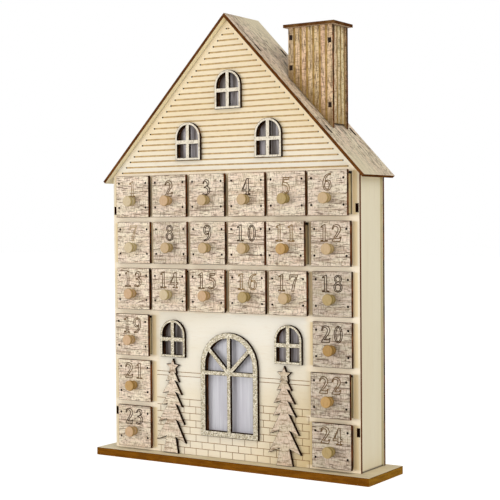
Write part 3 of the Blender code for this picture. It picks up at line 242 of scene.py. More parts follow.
# Painted shade: a dimmer copy of the whitewash, for the right-hand tree
WHITEWASH_SHADED = (0.680, 0.570, 0.445)
WHITEWASH_MIDDLE = (0.590, 0.440, 0.310)
WHITEWASH_DARK = (0.230, 0.155, 0.085)
PRINT_ROSE = (1.000, 0.950, 0.930)
PRINT_MOSS = (0.980, 0.995, 0.930)
FRAME_WHITE = (0.780, 0.705, 0.570)
FRAME_GREY = (0.560, 0.480, 0.360)
FRAME_SPECK = (0.200, 0.150, 0.095)
GLITTER_GOLD = (0.300, 0.250, 0.155)
GLITTER_PALE = (0.555, 0.505, 0.395)
GLITTER_DEEP = (0.090, 0.070, 0.045)
BOARD_BROWN = (0.230, 0.085, 0.006)
BOARD_DARK = (0.145, 0.050, 0.004)
BOARD_TOP = (0.730, 0.620, 0.410)
BOARD_TOP_DARK = (0.590, 0.475, 0.285)
BOARD_TOP_LIGHT = (0.900, 0.810, 0.600)
BOARD_END_GAIN = (1.6, 2.1, 3.0)
SHEET_WHITE = (0.620, 0.610, 0.640)
SHEET_SHADE = (0.450, 0.430, 0.470)
# Painted shade: the attic's sheet is coloured darker than the room's, for the shade behind the small gable
# windows
ATTIC_SHADED_WHITE = (0.400, 0.370, 0.390)
ATTIC_SHADE = (0.300, 0.270, 0.290)
# Painted shade: dark streaks on the satin sheets
SHADE_STREAK_DARK = (0.180, 0.145, 0.125)
SHADE_STREAK_PALE = (0.530, 0.485, 0.500)
# Painted shade: the trays' wood is darker and yellower than the house's pale boards, for the shade in the
# drawers' gaps
TRAY_SHADED_PALE = (0.620, 0.490, 0.260)
TRAY_SHADED_WARM = (0.520, 0.390, 0.190)
NUMBER_TONES = (((0.026, 0.013, 0.005), (0.080, 0.038, 0.012)),
                ((0.110, 0.062, 0.024), (0.220, 0.130, 0.055)),
                ((0.210, 0.125, 0.045), (0.360, 0.230, 0.095)),
                ((0.450, 0.330, 0.190), (0.560, 0.430, 0.270)))
# Painted shade: the darker olive on the knobs' sides
KNOB_SIDE_SHADE = (0.760, 0.800, 0.480)
PLASTIC_BLACK = (0.022, 0.022, 0.023)
PLASTIC_GREY = (0.040, 0.040, 0.042)
JACKET_GOLD = (0.520, 0.360, 0.120)
JACKET_BLACK = (0.025, 0.025, 0.025)
WIRE_CLEAR = (0.620, 0.640, 0.620)
STAGE_WHITE = (0.900, 0.900, 0.900)
WHITE = (1, 1, 1)

# How light each plate tone is, then the tones of each drawer's plate, number and knob; the plates' tones are
# partly painted shade, darker down the right-hand column
PLATE_TONE_AND_SHADE_SHARES = (1.00, 0.93, 0.86, 0.70)
PLATE_TONES_AND_SHADE = (0, 1, 1, 0, 1, 2, 0, 2, 1, 0, 1, 2, 0, 1, 0, 1, 1, 3, 0, 3, 0, 3, 1, 3)
NUMBER_TONE_CHOICES = (2, 1, 0, 0, 2, 1, 3, 0, 0, 0, 2, 1, 1, 1, 1, 2, 1, 0, 1, 0, 1, 1, 0, 1)
KNOB_TONES = (0, 1, 2, 2, 3, 2, 0, 2, 2, 2, 4, 2, 1, 0, 1, 3, 2, 3, 1, 5, 4, 4, 1, 3)
KNOB_PALE = ((0.590, 0.475, 0.300), (0.560, 0.370, 0.215), (0.525, 0.370, 0.210),
             (0.420, 0.300, 0.130), (0.480, 0.290, 0.105), (0.385, 0.225, 0.068))
KNOB_DEEP = ((0.500, 0.375, 0.215), (0.480, 0.290, 0.135), (0.430, 0.290, 0.135),
             (0.330, 0.225, 0.080), (0.380, 0.205, 0.060), (0.300, 0.155, 0.038))

AXIS_X = (1, 0, 0)
AXIS_Y = (0, 1, 0)
AXIS_Z = (0, 0, 1)
AXIS_FRONT = (0, -1, 0)
RIGHT_SLOPE = (math.sin(SLOPE), 0, math.cos(SLOPE))
LEFT_SLOPE = (-math.sin(SLOPE), 0, math.cos(SLOPE))
RIGHT_FALL = (math.cos(SLOPE), 0, -math.sin(SLOPE))
LEFT_FALL = (-math.cos(SLOPE), 0, -math.sin(SLOPE))
FACE_LIMIT = 0.8

# Where stains, painted shade and light, burns, wear and the jackets' tones lie, and how far the print may
# shift
ROOM_TOP = FLOOR + FULL_ROWS * ROW_PITCH
DRAWERS_TOP = FLOOR + ROWS * ROW_PITCH
BRICK_STAIN_TOP = 0.103
STAIN_FADE = 0.00475
OUTER_COLUMN = (0.08424, 0.09126)
# Painted shade low on the right: across which it grows, then where it eases near the edge
CORNER_SHADE_ACROSS = (0, 0.10764)
CORNER_SHADE_RIM = (0.13806, 0.11934)
REAR_OLIVE_REACH = 0.0044
REAR_FADE = 0.0012
# Painted contact shade: how high up the side walls' foot it reaches
FOOT_SHADE = 0.0026
RIM_BURN = 0.0012
# Painted shade: how far up from the roof the chimney's foot is darkened
STACK_SHADE_REACH = 0.016
RIDGE_WEAR = 0.060
EAVE_WEAR = 0.165
ROOF_REACH = 0.215
ROOM_SHADE_FROM = 0.038
SHADE_STREAK_BLEND = 0.004
JACKET_BAND = (-0.004, -0.0035)
PRINT_SHIFT = (3, 3, 3)

# How strong they are
GABLE_SHARE = 0.48
BRICK_SHARE = 0.22
WALL_SHARE = 0.32
# Painted shade: how much amber the strips between drawer columns get
STRIP_SHADE_SHARE = 0.75
# Painted light: how far the strips between drawer rows are paled
PAINTED_LIGHT_SHARE = 0.7
CORNER_SHADE_SHARES = (0.35, 0.95)
# Painted shade: how dark the chimney's foot gets
STACK_FOOT_SHADE_SHARE = 0.60
REAR_SHARE = 0.75
RIM_SHARE = 0.65
LEFT_SHARE = 0.55
WEAR_SHARE = 0.85

# How far from the middle of the strips between drawers they change, as shares of the pitch
STRIP_SHARES = (0.09, 0.03)
ROW_CLEAR_SHARES = (0.04, 0.08)

# Patterns: density along each axis, detail, roughness and distortion, or some of these
FRONT_GRAIN = (60, 60, 420)
SIDE_GRAIN = (60, 420, 40)
BACK_GRAIN = (420, 60, 60)
INSIDE_GRAIN = (420, 60, 420)
EAVE_GRAIN = (60, 420, 60)
BROAD_GAIN = 0.12
PORE_GAIN = 2.6
VENEER_BROAD = (2.0, 0.5, 0.4)
VENEER_GRAIN = (5.0, 0.65, 0.25)
VENEER_PORES = (2.0, 0.5)
SCORCH_LAYERS = ((40, 40, 40), 3.0, 0.6)
SCORCH_PATCHES = ((90, 90, 90), 4.0, 0.6)
PRINT_BANDS = ((30, 30, 210), 3.0, 0.6, 0.3)
PRINT_RINGS = ((24, 24, 330), 2.0, 0.5, 0.2)
PRINT_DASHES = ((140, 140, 1000), 2.0, 0.6, 0.3)
PRINT_STREAKS = ((22, 22, 520), 3.0, 0.6, 0.2)
PRINT_TINTS = ((60, 60, 160), 2.0, 0.5)
PRINT_THREADS = ((880, 880, 210), 2.0, 0.6)
PRINT_SPECKS = ((800, 800, 800), 2.0, 0.5)
GROOVE_PATCHES = ((260, 260, 260), 4.0, 0.6)
FRAME_STREAKS = ((900, 900, 220), 4.0, 0.65)
FRAME_SPECKS = ((700, 700, 700), 2.0, 0.5)
SHEET_FIBRES = ((900, 900, 14), 4.0, 0.6)
SHEET_CLOUDS = ((110, 60, 12), 2.0, 0.5)
SHEET_SHADE_STREAKS = ((190, 60, 12), 2.0, 0.5)
BOARD_FIBRES = ((70, 70, 420), 5.0, 0.6)
BOARD_FLECKS = ((900, 900, 1400), 2.0, 0.5)
BOARD_GRAIN = ((45, 620, 45), 5.0, 0.6, 0.4)
KNOB_BANDS = ((900, 90, 260), 3.0, 0.5, 0.2)
KNOB_FLECKS = ((1900, 300, 1500), 3.0, 0.5)
PLASTIC_GRAIN = ((1800, 1800, 1800), 3.0, 0.6)
JACKET_SCUFFS = ((300, 900, 900), 3.0, 0.6)
WIRE_TWIST = ((900, 900, 900), 2.0, 0.5)
FLAKE_DENSITY = 950
GRIT_DENSITY = 1500
RING_COUNT = 6
ROOF_COARSE = 0.6

# Where in its pattern a colour starts and is full, and how strong it is
VENEER_WARM_SHARES = (0.30, 0.75)
VENEER_GRAIN_SHARES = (0.52, 0.78, 0.34)
VENEER_PORE_SHARES = (0.62, 0.78, 0.22)
SCORCH_RED_SHARES = (0.35, 0.70)
SCORCH_PALE_SHARES = (0.62, 0.80)
BAND_SHARES = (0.40, 0.66, 0.6)
TINT_SHARES = (0.40, 0.60)
LIGHT_THREAD_SHARES = (0.48, 0.38)
DARK_THREAD_SHARES = (0.53, 0.64)
DARK_THREAD_SHARE = 0.85
LIGHT_STREAK_SHARES = (0.45, 0.32, 0.5)
DARK_STREAK_SHARES = (0.52, 0.72, 0.75)
RING_SHARES = (0.18, 0.04)
RING_DASH_SHARES = (0.44, 0.60)
DASH_SHARES = (0.53, 0.68)
LINE_SHARE = 0.85
SPECK_SHARES = (0.60, 0.72, 0.5)
PRINT_HATCH = 0.60
ROOF_HATCH = 0.35
GROOVE_SHARES = (0.35, 0.68)
FLAKE_SHARES = (0.25, 0.80)
GRIT_SHARES = (0.72, 0.90)
FRAME_GREY_SHARES = (0.48, 0.66)
FRAME_SPECK_SHARES = (0.56, 0.68, 0.6)
FIBRE_SHARES = (0.42, 0.72)
CLOUD_SHARES = (0.42, 0.70, 0.7)
SHADE_STREAK_SHARES = (0.42, 0.60)
BOARD_FIBRE_SHARES = (0.32, 0.70)
BOARD_FLECK_SHARES = (0.58, 0.74, 0.35)
BOARD_GRAIN_SHARES = (0.40, 0.72)
KNOB_BAND_SHARES = (0.40, 0.70, 0.6)
KNOB_FLECK_SHARES = (0.60, 0.78, 0.3)
PLASTIC_SHARES = (0.35, 0.70)
WIRE_SHARES = (0.4, 0.7)

# How far a knob's surface looks ahead where its painted side shade starts and is full, and how strong it is
KNOB_SIDE_SHADE_SHARES = (0.85, 0.35, 0.75)

# Relief: distance and strength
VENEER_RELIEF = (0.00015, 0.5)
INSIDE_RELIEF = (0.00015, 0.4)
PRINT_RELIEF = (0.00008, 0.5)
COARSE_RELIEF = (0.0001, 0.5)
FRAME_RELIEF = (0.0001, 0.4)
GLITTER_RELIEF = (0.00012, 0.8)
SHEET_RELIEF = (0.00006, 0.5)
PLASTIC_RELIEF = (0.00006, 0.6)
KNOB_RELIEF = (0.00002, 0.4)
WIRE_RELIEF = (0.00005, 0.4)

# Roughness of a board's edge and its face, or at a pattern's ends
VENEER_ROUGHNESS = (0.82, 0.60)
PRINT_ROUGHNESS = (0.80, 0.60)
STACK_ROUGHNESS = (0.65, 0.65)
PAINT_ROUGHNESS = (0.60, 0.60)
GLITTER_ROUGHNESS = (0.85, 0.40)
PLASTIC_ROUGHNESS = (0.35, 0.55)
JACKET_ROUGHNESS = (0.20, 0.45)

# Single values of roughness, metal and gloss
INSIDE_ROUGHNESS = 0.65
GROOVE_ROUGHNESS = 0.85
SHEET_ROUGHNESS = 0.38
BASE_ROUGHNESS = 0.7
KNOB_ROUGHNESS = 0.5
WIRE_ROUGHNESS = 0.25
STAGE_ROUGHNESS = 0.9
GLITTER_METAL = 0.35
JACKET_METAL = 0.6
WOOD_GLOSS = 0.22
PLASTIC_GLOSS = 0.5


class Recipe:
    """Adds nodes to one new material and joins them."""

    def __init__(self, name):
        self.material = bpy.data.materials.new(name)
        self.material.use_nodes = True
        self.tree = self.material.node_tree
        self.shader = self.tree.nodes["Principled BSDF"]
        coordinates = self.tree.nodes.new("ShaderNodeTexCoord").outputs
        self.place = coordinates["Object"]
        self.normal = coordinates["Normal"]

    def feed(self, node, inputs):
        """Links each input, or sets it to a plain value; a colour is opaque."""
        for key, value in inputs.items():
            socket = node.inputs[key]
            if isinstance(value, bpy.types.NodeSocket):
                self.tree.links.new(value, socket)
            elif socket.type == "RGBA":
                socket.default_value = (*value, 1)
            else:
                socket.default_value = value

    def add(self, kind, inputs, **settings):
        """A new node of a kind, with its settings made and its inputs fed."""
        node = self.tree.nodes.new("ShaderNode" + kind)
        for key, value in settings.items():
            setattr(node, key, value)
        self.feed(node, inputs)
        return node

    def maths(self, operation, first, second=0.0):
        return self.add("Math", {0: first, 1: second}, operation=operation).outputs[0]

    def times(self, first, second):
        return self.maths("MULTIPLY", first, second)

    def most(self, first, second):
        return self.maths("MAXIMUM", first, second)

    def level(self, share, low, high):
        """Low where the share is 0, high where it is 1; a plain number where they are the same."""
        if low == high:
            return low
        return self.maths("ADD", self.times(share, high - low), low)

    def vector(self, operation, first, second=(0, 0, 0)):
        return self.add("VectorMath", {0: first, 1: second}, operation=operation).outputs["Vector"]

    def along(self, axis, vector=None):
        """How far the object's coordinates, or another vector, go along an axis."""
        source = self.place if vector is None else vector
        return self.add("VectorMath", {0: source, 1: axis}, operation="DOT_PRODUCT").outputs["Value"]

    def lay(self, grain, across):
        """The object's coordinates with X along the grain and Z across it."""
        side = tuple(Vector(grain).cross(Vector(across)))
        parts = {"X": self.along(grain), "Y": self.along(side), "Z": self.along(across)}
        return self.add("CombineXYZ", parts).outputs["Vector"]

    def pattern(self, density, detail, roughness, distortion=0.0, vector=None):
        """Noise with a density along each axis, on the object's coordinates or on another vector."""
        source = self.place if vector is None else vector
        inputs = {"Vector": self.vector("MULTIPLY", source, density), "Scale": 1.0, "Detail": detail,
                  "Roughness": roughness, "Distortion": distortion}
        return self.add("TexNoise", inputs).outputs["Fac"]

    def cells(self, density):
        """The three parts of a random colour for each small cell."""
        colour = self.add("TexVoronoi", {"Vector": self.place, "Scale": density}).outputs["Color"]
        return self.add("SeparateColor", {"Color": colour}).outputs

    def between(self, value, low, high):
        """0 at low, 1 at high, smooth and clamped."""
        inputs = {"Value": value, "From Min": low, "From Max": high}
        return self.add("MapRange", inputs, interpolation_type="SMOOTHSTEP").outputs["Result"]

    def off_step(self, value, start, step):
        """How far a value is from the nearest of evenly spaced ones, in steps."""
        steps = self.maths("DIVIDE", self.maths("SUBTRACT", value, start), step)
        return self.maths("ABSOLUTE", self.maths("SUBTRACT", steps, self.maths("ROUND", steps)))

    def mix(self, share, first, second, mode="MIX"):
        inputs = {"Factor": share, 6: first, 7: second}
        return self.add("Mix", inputs, data_type="RGBA", blend_type=mode).outputs[2]

    def tint(self, colour, other):
        """A colour multiplied by another."""
        return self.mix(1.0, colour, other, "MULTIPLY")

    def stain(self, colour, other, value, low, high, share=1.0):
        """A colour that goes over into another as a value goes from low to high."""
        reached = self.between(value, low, high)
        if share < 1:
            reached = self.times(reached, share)
        return self.mix(reached, colour, other)

    def looking(self, axis):
        """1 on faces that look the way of an axis, 0 on the others."""
        return self.maths("GREATER_THAN", self.along(axis, self.normal), FACE_LIMIT)

    def facing(self, axis):
        """1 on faces that look either way along an axis, 0 on the others."""
        return self.maths("GREATER_THAN", self.maths("ABSOLUTE", self.along(axis, self.normal)), FACE_LIMIT)

    def bump(self, height, distance, strength):
        inputs = {"Height": height, "Distance": distance, "Strength": strength}
        self.feed(self.shader, {"Normal": self.add("Bump", inputs).outputs["Normal"]})

    def finish(self, colour, roughness, metallic=0.0, gloss=WOOD_GLOSS):
        self.feed(self.shader, {"Base Color": colour, "Roughness": roughness, "Metallic": metallic,
                                "Specular IOR Level": gloss})
        return self.material

    def board(self, axis, edge, face, height, relief, roughness, metal=0.0, gloss=WOOD_GLOSS):
        """Finishes a board: its face in relief with a slight gloss, its burnt edges smooth and dull."""
        facing = self.facing(axis)
        distance, strength = relief
        self.bump(height, distance, self.times(facing, strength))
        return self.finish(self.mix(facing, edge, face), self.level(facing, *roughness),
                           self.level(facing, 0, metal), self.times(facing, gloss))


def scorched(recipe, dark=SCORCH_DARK, red=SCORCH_RED):
    """Colour of a laser-cut edge: dark and red patches with pale ones among them."""
    tone = recipe.stain(dark, red, recipe.pattern(*SCORCH_PATCHES), *SCORCH_RED_SHARES)
    return recipe.stain(tone, SCORCH_PALE, recipe.pattern(*SCORCH_LAYERS), *SCORCH_PALE_SHARES)


def wood_face(recipe, density, pale=WALL_PALE, warm=WALL_WARM):
    """Pale close-grained veneer; density is the grain's along each axis. Colour and height."""
    broad = recipe.pattern(tuple(BROAD_GAIN * value for value in density), *VENEER_BROAD)
    grain = recipe.pattern(density, *VENEER_GRAIN)
    pores = recipe.pattern(tuple(PORE_GAIN * value for value in density), *VENEER_PORES)
    colour = recipe.stain(pale, warm, broad, *VENEER_WARM_SHARES)
    colour = recipe.stain(colour, WALL_LINE, grain, *VENEER_GRAIN_SHARES)
    return recipe.stain(colour, WALL_LINE, pores, *VENEER_PORE_SHARES), grain


def plain_board(recipe, face_axis, end_axes, colour, height, edge):
    """Finishes a board of plain veneer with burnt edges and black tenon ends."""
    for axis in end_axes:
        edge = recipe.mix(recipe.looking(axis), edge, TENON_END)
    return recipe.board(face_axis, edge, colour, height, VENEER_RELIEF, VENEER_ROUGHNESS)


def back_board(name):
    """The back panel: plain veneer on both sides."""
    recipe = Recipe(name)
    colour, height = wood_face(recipe, BACK_GRAIN, SIDE_PALE, SIDE_WARM)
    return plain_board(recipe, AXIS_Y, (RIGHT_SLOPE, LEFT_SLOPE), colour, height, scorched(recipe))


def side_board(name):
    """A side wall: plain veneer, olive along its rear edge, and painted contact shade along its foot."""
    recipe = Recipe(name)
    colour, height = wood_face(recipe, SIDE_GRAIN, SIDE_PALE, SIDE_WARM)
    # Olive along the rear edge of the wall
    rear = BACK - PLY - REAR_OLIVE_REACH
    colour = recipe.stain(colour, REAR_OLIVE, recipe.along(AXIS_Y), rear, rear + REAR_FADE, REAR_SHARE)
    # Painted contact shade along the foot, where the wall meets the base
    colour = recipe.stain(colour, SCORCH_DARK, recipe.along(AXIS_Z), FLOOR + FOOT_SHADE, FLOOR)
    return plain_board(recipe, AXIS_X, (AXIS_Y, AXIS_FRONT), colour, height, scorched(recipe))


def inside_board(name, pale=WALL_PALE, warm=WALL_WARM):
    """Boards inside the house: pale faces, and burnt edges where they meet the front and back."""
    recipe = Recipe(name)
    colour, height = wood_face(recipe, INSIDE_GRAIN, pale, warm)
    recipe.bump(height, *INSIDE_RELIEF)
    return recipe.finish(recipe.mix(recipe.facing(AXIS_Y), colour, scorched(recipe)), INSIDE_ROUGHNESS)


def front_stains(recipe, colour, x, z):
    """Amber on the gable and bricks; amber over the drawers' field, deeper on the strips between columns as
    painted shade; painted shade low on the right; painted light between the rows.
    """
    across = recipe.off_step(x, 0, COLUMN_PITCH)
    up = recipe.off_step(z, FLOOR + LOWEST_ROW - ROW_PITCH / 2, ROW_PITCH)
    strip_shade = recipe.times(recipe.between(across, *STRIP_SHARES), recipe.between(up, *ROW_CLEAR_SHARES))
    outer = recipe.between(recipe.maths("ABSOLUTE", x), *OUTER_COLUMN)
    drawers = recipe.most(outer, recipe.between(z, ROOM_TOP, ROOM_TOP + STAIN_FADE))
    drawers = recipe.times(drawers, recipe.between(z, DRAWERS_TOP + STAIN_FADE, DRAWERS_TOP))
    # Painted shade: deeper amber on the strips between drawer columns, over the field's own amber tone
    amber_and_shade = recipe.times(recipe.most(recipe.times(strip_shade, STRIP_SHADE_SHARE), WALL_SHARE), drawers)
    eave = FLOOR + EAVE_HEIGHT
    gable = recipe.times(recipe.between(z, eave, eave + ROW_PITCH), GABLE_SHARE)
    bricks = recipe.times(recipe.between(z, BRICK_STAIN_TOP, FLOOR + ROW_PITCH), BRICK_SHARE)
    colour = recipe.mix(recipe.most(recipe.most(gable, bricks), amber_and_shade), colour, WALL_AMBER_AND_SHADE)
    # Painted shade: darker towards the bottom right of the drawers, with less of it on the outermost strip
    rim = recipe.level(recipe.between(x, *CORNER_SHADE_RIM), *CORNER_SHADE_SHARES)
    corner = recipe.times(recipe.between(z, ROOM_TOP, FLOOR), recipe.between(x, *CORNER_SHADE_ACROSS))
    colour = recipe.mix(recipe.times(corner, rim), colour, WALL_PAINTED_SHADE)
    # Painted light on the strips between the drawer rows
    rows = recipe.times(recipe.between(up, *STRIP_SHARES), drawers)
    return recipe.mix(recipe.times(rows, PAINTED_LIGHT_SHARE), colour, WALL_PAINTED_LIGHT)


def front_board(name):
    """The front panel: cream veneer with its stains, painted shade and painted light, and burnt openings."""
    recipe = Recipe(name)
    colour, height = wood_face(recipe, FRONT_GRAIN)
    x = recipe.along(AXIS_X)
    colour = front_stains(recipe, colour, x, recipe.along(AXIS_Z))
    edge = scorched(recipe, OPENING_DARK, OPENING_RED)
    edge = recipe.stain(edge, CORNER_BURN, x, PANEL_WIDTH / 2 - PLY / 2, PANEL_WIDTH / 2)
    return plain_board(recipe, AXIS_Y, (RIGHT_SLOPE, LEFT_SLOPE), colour, height, edge)


def printed_grain(recipe, vector, tones, hatch=PRINT_HATCH, coarse=1.0):
    """Weathered grain as it is printed on the boards. X of the vector runs along the grain, Z across."""
    light, middle, dark = tones
    coarser = recipe.vector("MULTIPLY", vector, (1, 1, coarse))
    dashes = recipe.pattern(*PRINT_DASHES, vector=coarser)
    streaks = recipe.pattern(*PRINT_STREAKS, vector=coarser)
    threads = recipe.pattern(*PRINT_THREADS, vector=vector)
    colour = recipe.stain(light, middle, recipe.pattern(*PRINT_BANDS, vector=coarser), *BAND_SHARES)
    tint = recipe.stain(PRINT_ROSE, PRINT_MOSS, recipe.pattern(*PRINT_TINTS, vector=coarser), *TINT_SHARES)
    colour = recipe.tint(colour, tint)
    colour = recipe.stain(colour, light, threads, *LIGHT_THREAD_SHARES, hatch)
    colour = recipe.stain(colour, light, streaks, *LIGHT_STREAK_SHARES)
    colour = recipe.stain(colour, dark, streaks, *DARK_STREAK_SHARES)
    colour = recipe.stain(colour, dark, threads, *DARK_THREAD_SHARES, DARK_THREAD_SHARE * hatch)
    rings = recipe.maths("FRACT", recipe.times(recipe.pattern(*PRINT_RINGS, vector=coarser), RING_COUNT))
    edge = recipe.maths("ABSOLUTE", recipe.maths("SUBTRACT", rings, 0.5))
    lines = recipe.times(recipe.between(edge, *RING_SHARES), recipe.between(dashes, *RING_DASH_SHARES))
    colour = recipe.mix(recipe.times(lines, LINE_SHARE), colour, dark)
    colour = recipe.stain(colour, dark, dashes, *DASH_SHARES, LINE_SHARE)
    return recipe.stain(colour, dark, recipe.pattern(*PRINT_SPECKS, vector=vector), *SPECK_SHARES), dashes


def printed_board(name, face_axis, grain, across, tones, burns):
    """A board with print on both sides and burnt edges."""
    recipe = Recipe(name)
    colour, height = printed_grain(recipe, recipe.lay(grain, across), tones)
    return recipe.board(face_axis, scorched(recipe, *burns), colour, height, PRINT_RELIEF, PRINT_ROUGHNESS)


def roof_board(name, outward, fall):
    """A roof board: coarse worn print above, plain veneer below. Fall runs down the slope."""
    recipe = Recipe(name)
    tones = (ROOF_LIGHT, ROOF_MIDDLE, ROOF_DARK)
    colour, height = printed_grain(recipe, recipe.lay(fall, AXIS_Y), tones, ROOF_HATCH, ROOF_COARSE)
    down = recipe.along(fall)
    back = recipe.along(AXIS_Y)
    ridge = -(FLOOR + GABLE_HEIGHT) * math.sin(SLOPE)
    near_ridge = recipe.times(recipe.between(down, ridge + RIDGE_WEAR, ridge),
                              recipe.between(back, FRONT, BACK))
    near_eave = recipe.times(recipe.between(down, ridge + EAVE_WEAR, ridge + ROOF_REACH),
                             recipe.between(back, BACK, FRONT))
    colour = recipe.mix(recipe.times(recipe.most(near_ridge, near_eave), WEAR_SHARE), colour, ROOF_WORN)
    plain, _ = wood_face(recipe, EAVE_GRAIN, EAVE_PALE, EAVE_WARM)
    colour = recipe.mix(recipe.looking(tuple(-value for value in outward)), colour, plain)
    edge = scorched(recipe, ROOF_BURN, ROOF_BURN_PALE)
    return recipe.board(outward, edge, colour, height, PRINT_RELIEF, PRINT_ROUGHNESS)


def stack_board(name, face_axis, across, middle, tones, first_tint):
    """A chimney wall: a tint for each printed plank, pale tenon ends, and painted shade at its foot."""
    recipe = Recipe(name)
    colour, height = printed_grain(recipe, recipe.lay(AXIS_Z, across), tones)
    first_groove = middle - (CHIMNEY_FRONT_GROOVES - 1) / 2 * CHIMNEY_GROOVE_PITCH
    away = recipe.maths("SUBTRACT", recipe.along(across), first_groove)
    plank = recipe.maths("FLOOR", recipe.maths("DIVIDE", away, CHIMNEY_GROOVE_PITCH))
    white = recipe.add("TexWhiteNoise", {"W": plank}, noise_dimensions="1D")
    tint = recipe.mix(white.outputs["Value"], STACK_PINK, STACK_OLIVE)
    tint = recipe.mix(recipe.maths("LESS_THAN", plank, 0), tint, first_tint)
    colour = recipe.tint(colour, tint)
    roof = (FLOOR + GABLE_HEIGHT) * math.cos(SLOPE) + PLY
    rise = recipe.along(RIGHT_SLOPE)
    # Painted shade at the chimney's foot, fading away from the roof
    colour = recipe.stain(colour, STACK_FOOT_SHADE, rise, roof + STACK_SHADE_REACH, roof, STACK_FOOT_SHADE_SHARE)
    edge = recipe.mix(recipe.facing(AXIS_Y), scorched(recipe), tones[0])
    return recipe.board(face_axis, edge, colour, height, PRINT_RELIEF, STACK_ROUGHNESS)


def plate_print(name, tone):
    """The drawers' limed print, shifted for each drawer by its place."""
    recipe = Recipe(name)
    cell = recipe.vector("ADD", recipe.place, (0, 0, -FLOOR))
    cell = recipe.vector("DIVIDE", cell, (COLUMN_PITCH, 1, ROW_PITCH))
    white = recipe.add("TexWhiteNoise", {"Vector": recipe.vector("FLOOR", cell)})
    shift = recipe.vector("MULTIPLY", white.outputs["Color"], PRINT_SHIFT)
    tones = []
    for colour in (LIMED_LIGHT, LIMED_MIDDLE, LIMED_DARK):
        tones.append(tuple(tone * value for value in colour))
    colour, height = printed_grain(recipe, recipe.vector("ADD", recipe.place, shift), tones)
    return recipe.board(AXIS_Y, scorched(recipe), colour, height, PRINT_RELIEF, PAINT_ROUGHNESS)


def groove(name, deep, pale):
    """The scorched floor and walls of an engraved line."""
    recipe = Recipe(name)
    patches = recipe.pattern(*GROOVE_PATCHES)
    recipe.bump(patches, *COARSE_RELIEF)
    return recipe.finish(recipe.stain(deep, pale, patches, *GROOVE_SHARES), GROOVE_ROUGHNESS)


def glitter(name):
    """Fine champagne glitter on the frames' faces, burnt edges."""
    recipe = Recipe(name)
    flakes = recipe.cells(FLAKE_DENSITY)
    colour = recipe.stain(GLITTER_GOLD, GLITTER_PALE, flakes[0], *FLAKE_SHARES)
    colour = recipe.stain(colour, GLITTER_DEEP, recipe.cells(GRIT_DENSITY)[1], *GRIT_SHARES)
    return recipe.board(AXIS_Y, scorched(recipe, CHAR, SCORCH_DARK), colour, flakes[1],
                        GLITTER_RELIEF, GLITTER_ROUGHNESS, GLITTER_METAL, PLASTIC_GLOSS)


def painted_frame(name):
    """The gable windows' thinly whitened wood with burnt edges."""
    recipe = Recipe(name)
    streaks = recipe.pattern(*FRAME_STREAKS)
    colour = recipe.stain(FRAME_WHITE, FRAME_GREY, streaks, *FRAME_GREY_SHARES)
    colour = recipe.stain(colour, FRAME_SPECK, recipe.pattern(*FRAME_SPECKS), *FRAME_SPECK_SHARES)
    edge = scorched(recipe, CHAR, SCORCH_DARK)
    return recipe.board(AXIS_Y, edge, colour, streaks, FRAME_RELIEF, PAINT_ROUGHNESS)


def frosted(name, pale, shade, shade_from):
    """The satin sheet behind the windows: faint upright fibres, soft clouds that are partly its mottling and
    partly painted shade, and painted shade in dark streaks away from its middle.
    """
    recipe = Recipe(name)
    fibres = recipe.pattern(*SHEET_FIBRES)
    colour = recipe.stain(pale, shade, fibres, *FIBRE_SHARES)
    # Soft clouds: partly the sheet's mottling, partly painted shade
    colour = recipe.stain(colour, shade, recipe.pattern(*SHEET_CLOUDS), *CLOUD_SHARES)
    # Painted shade: dark streaks towards the sheet's sides, and over the whole attic sheet
    streak_shade = recipe.stain(SHADE_STREAK_DARK, SHADE_STREAK_PALE, recipe.pattern(*SHEET_SHADE_STREAKS), *SHADE_STREAK_SHARES)
    off_middle = recipe.maths("ABSOLUTE", recipe.along(AXIS_X))
    colour = recipe.stain(colour, streak_shade, off_middle, shade_from, shade_from + SHADE_STREAK_BLEND)
    recipe.bump(fibres, *SHEET_RELIEF)
    return recipe.finish(colour, SHEET_ROUGHNESS, 0.0, PLASTIC_GLOSS)


def fibreboard(name):
    """The base: brown fibreboard with a burnt rim and paler ends, under a pale top."""
    recipe = Recipe(name)
    flecks = recipe.pattern(*BOARD_FLECKS)
    edge = recipe.stain(BOARD_DARK, BOARD_BROWN, recipe.pattern(*BOARD_FIBRES), *BOARD_FIBRE_SHARES)
    edge = recipe.stain(edge, SCORCH_PALE, flecks, *BOARD_FLECK_SHARES)
    edge = recipe.mix(recipe.facing(AXIS_X), edge, recipe.vector("MULTIPLY", edge, BOARD_END_GAIN))
    rim = BASE_THICKNESS - RIM_BURN
    edge = recipe.stain(edge, SCORCH_DARK, recipe.along(AXIS_Z), rim, BASE_THICKNESS, RIM_SHARE)
    grain = recipe.pattern(*BOARD_GRAIN)
    top = recipe.stain(BOARD_TOP, BOARD_TOP_DARK, grain, *BOARD_GRAIN_SHARES)
    x = recipe.along(AXIS_X)
    top = recipe.stain(top, BOARD_TOP_LIGHT, x, -COLUMN_PITCH, -PANEL_WIDTH / 2, LEFT_SHARE)
    facing = recipe.facing(AXIS_Z)
    recipe.bump(recipe.mix(facing, flecks, grain), *COARSE_RELIEF)
    gloss = recipe.times(facing, WOOD_GLOSS)
    return recipe.finish(recipe.mix(facing, edge, top), BASE_ROUGHNESS, 0.0, gloss)


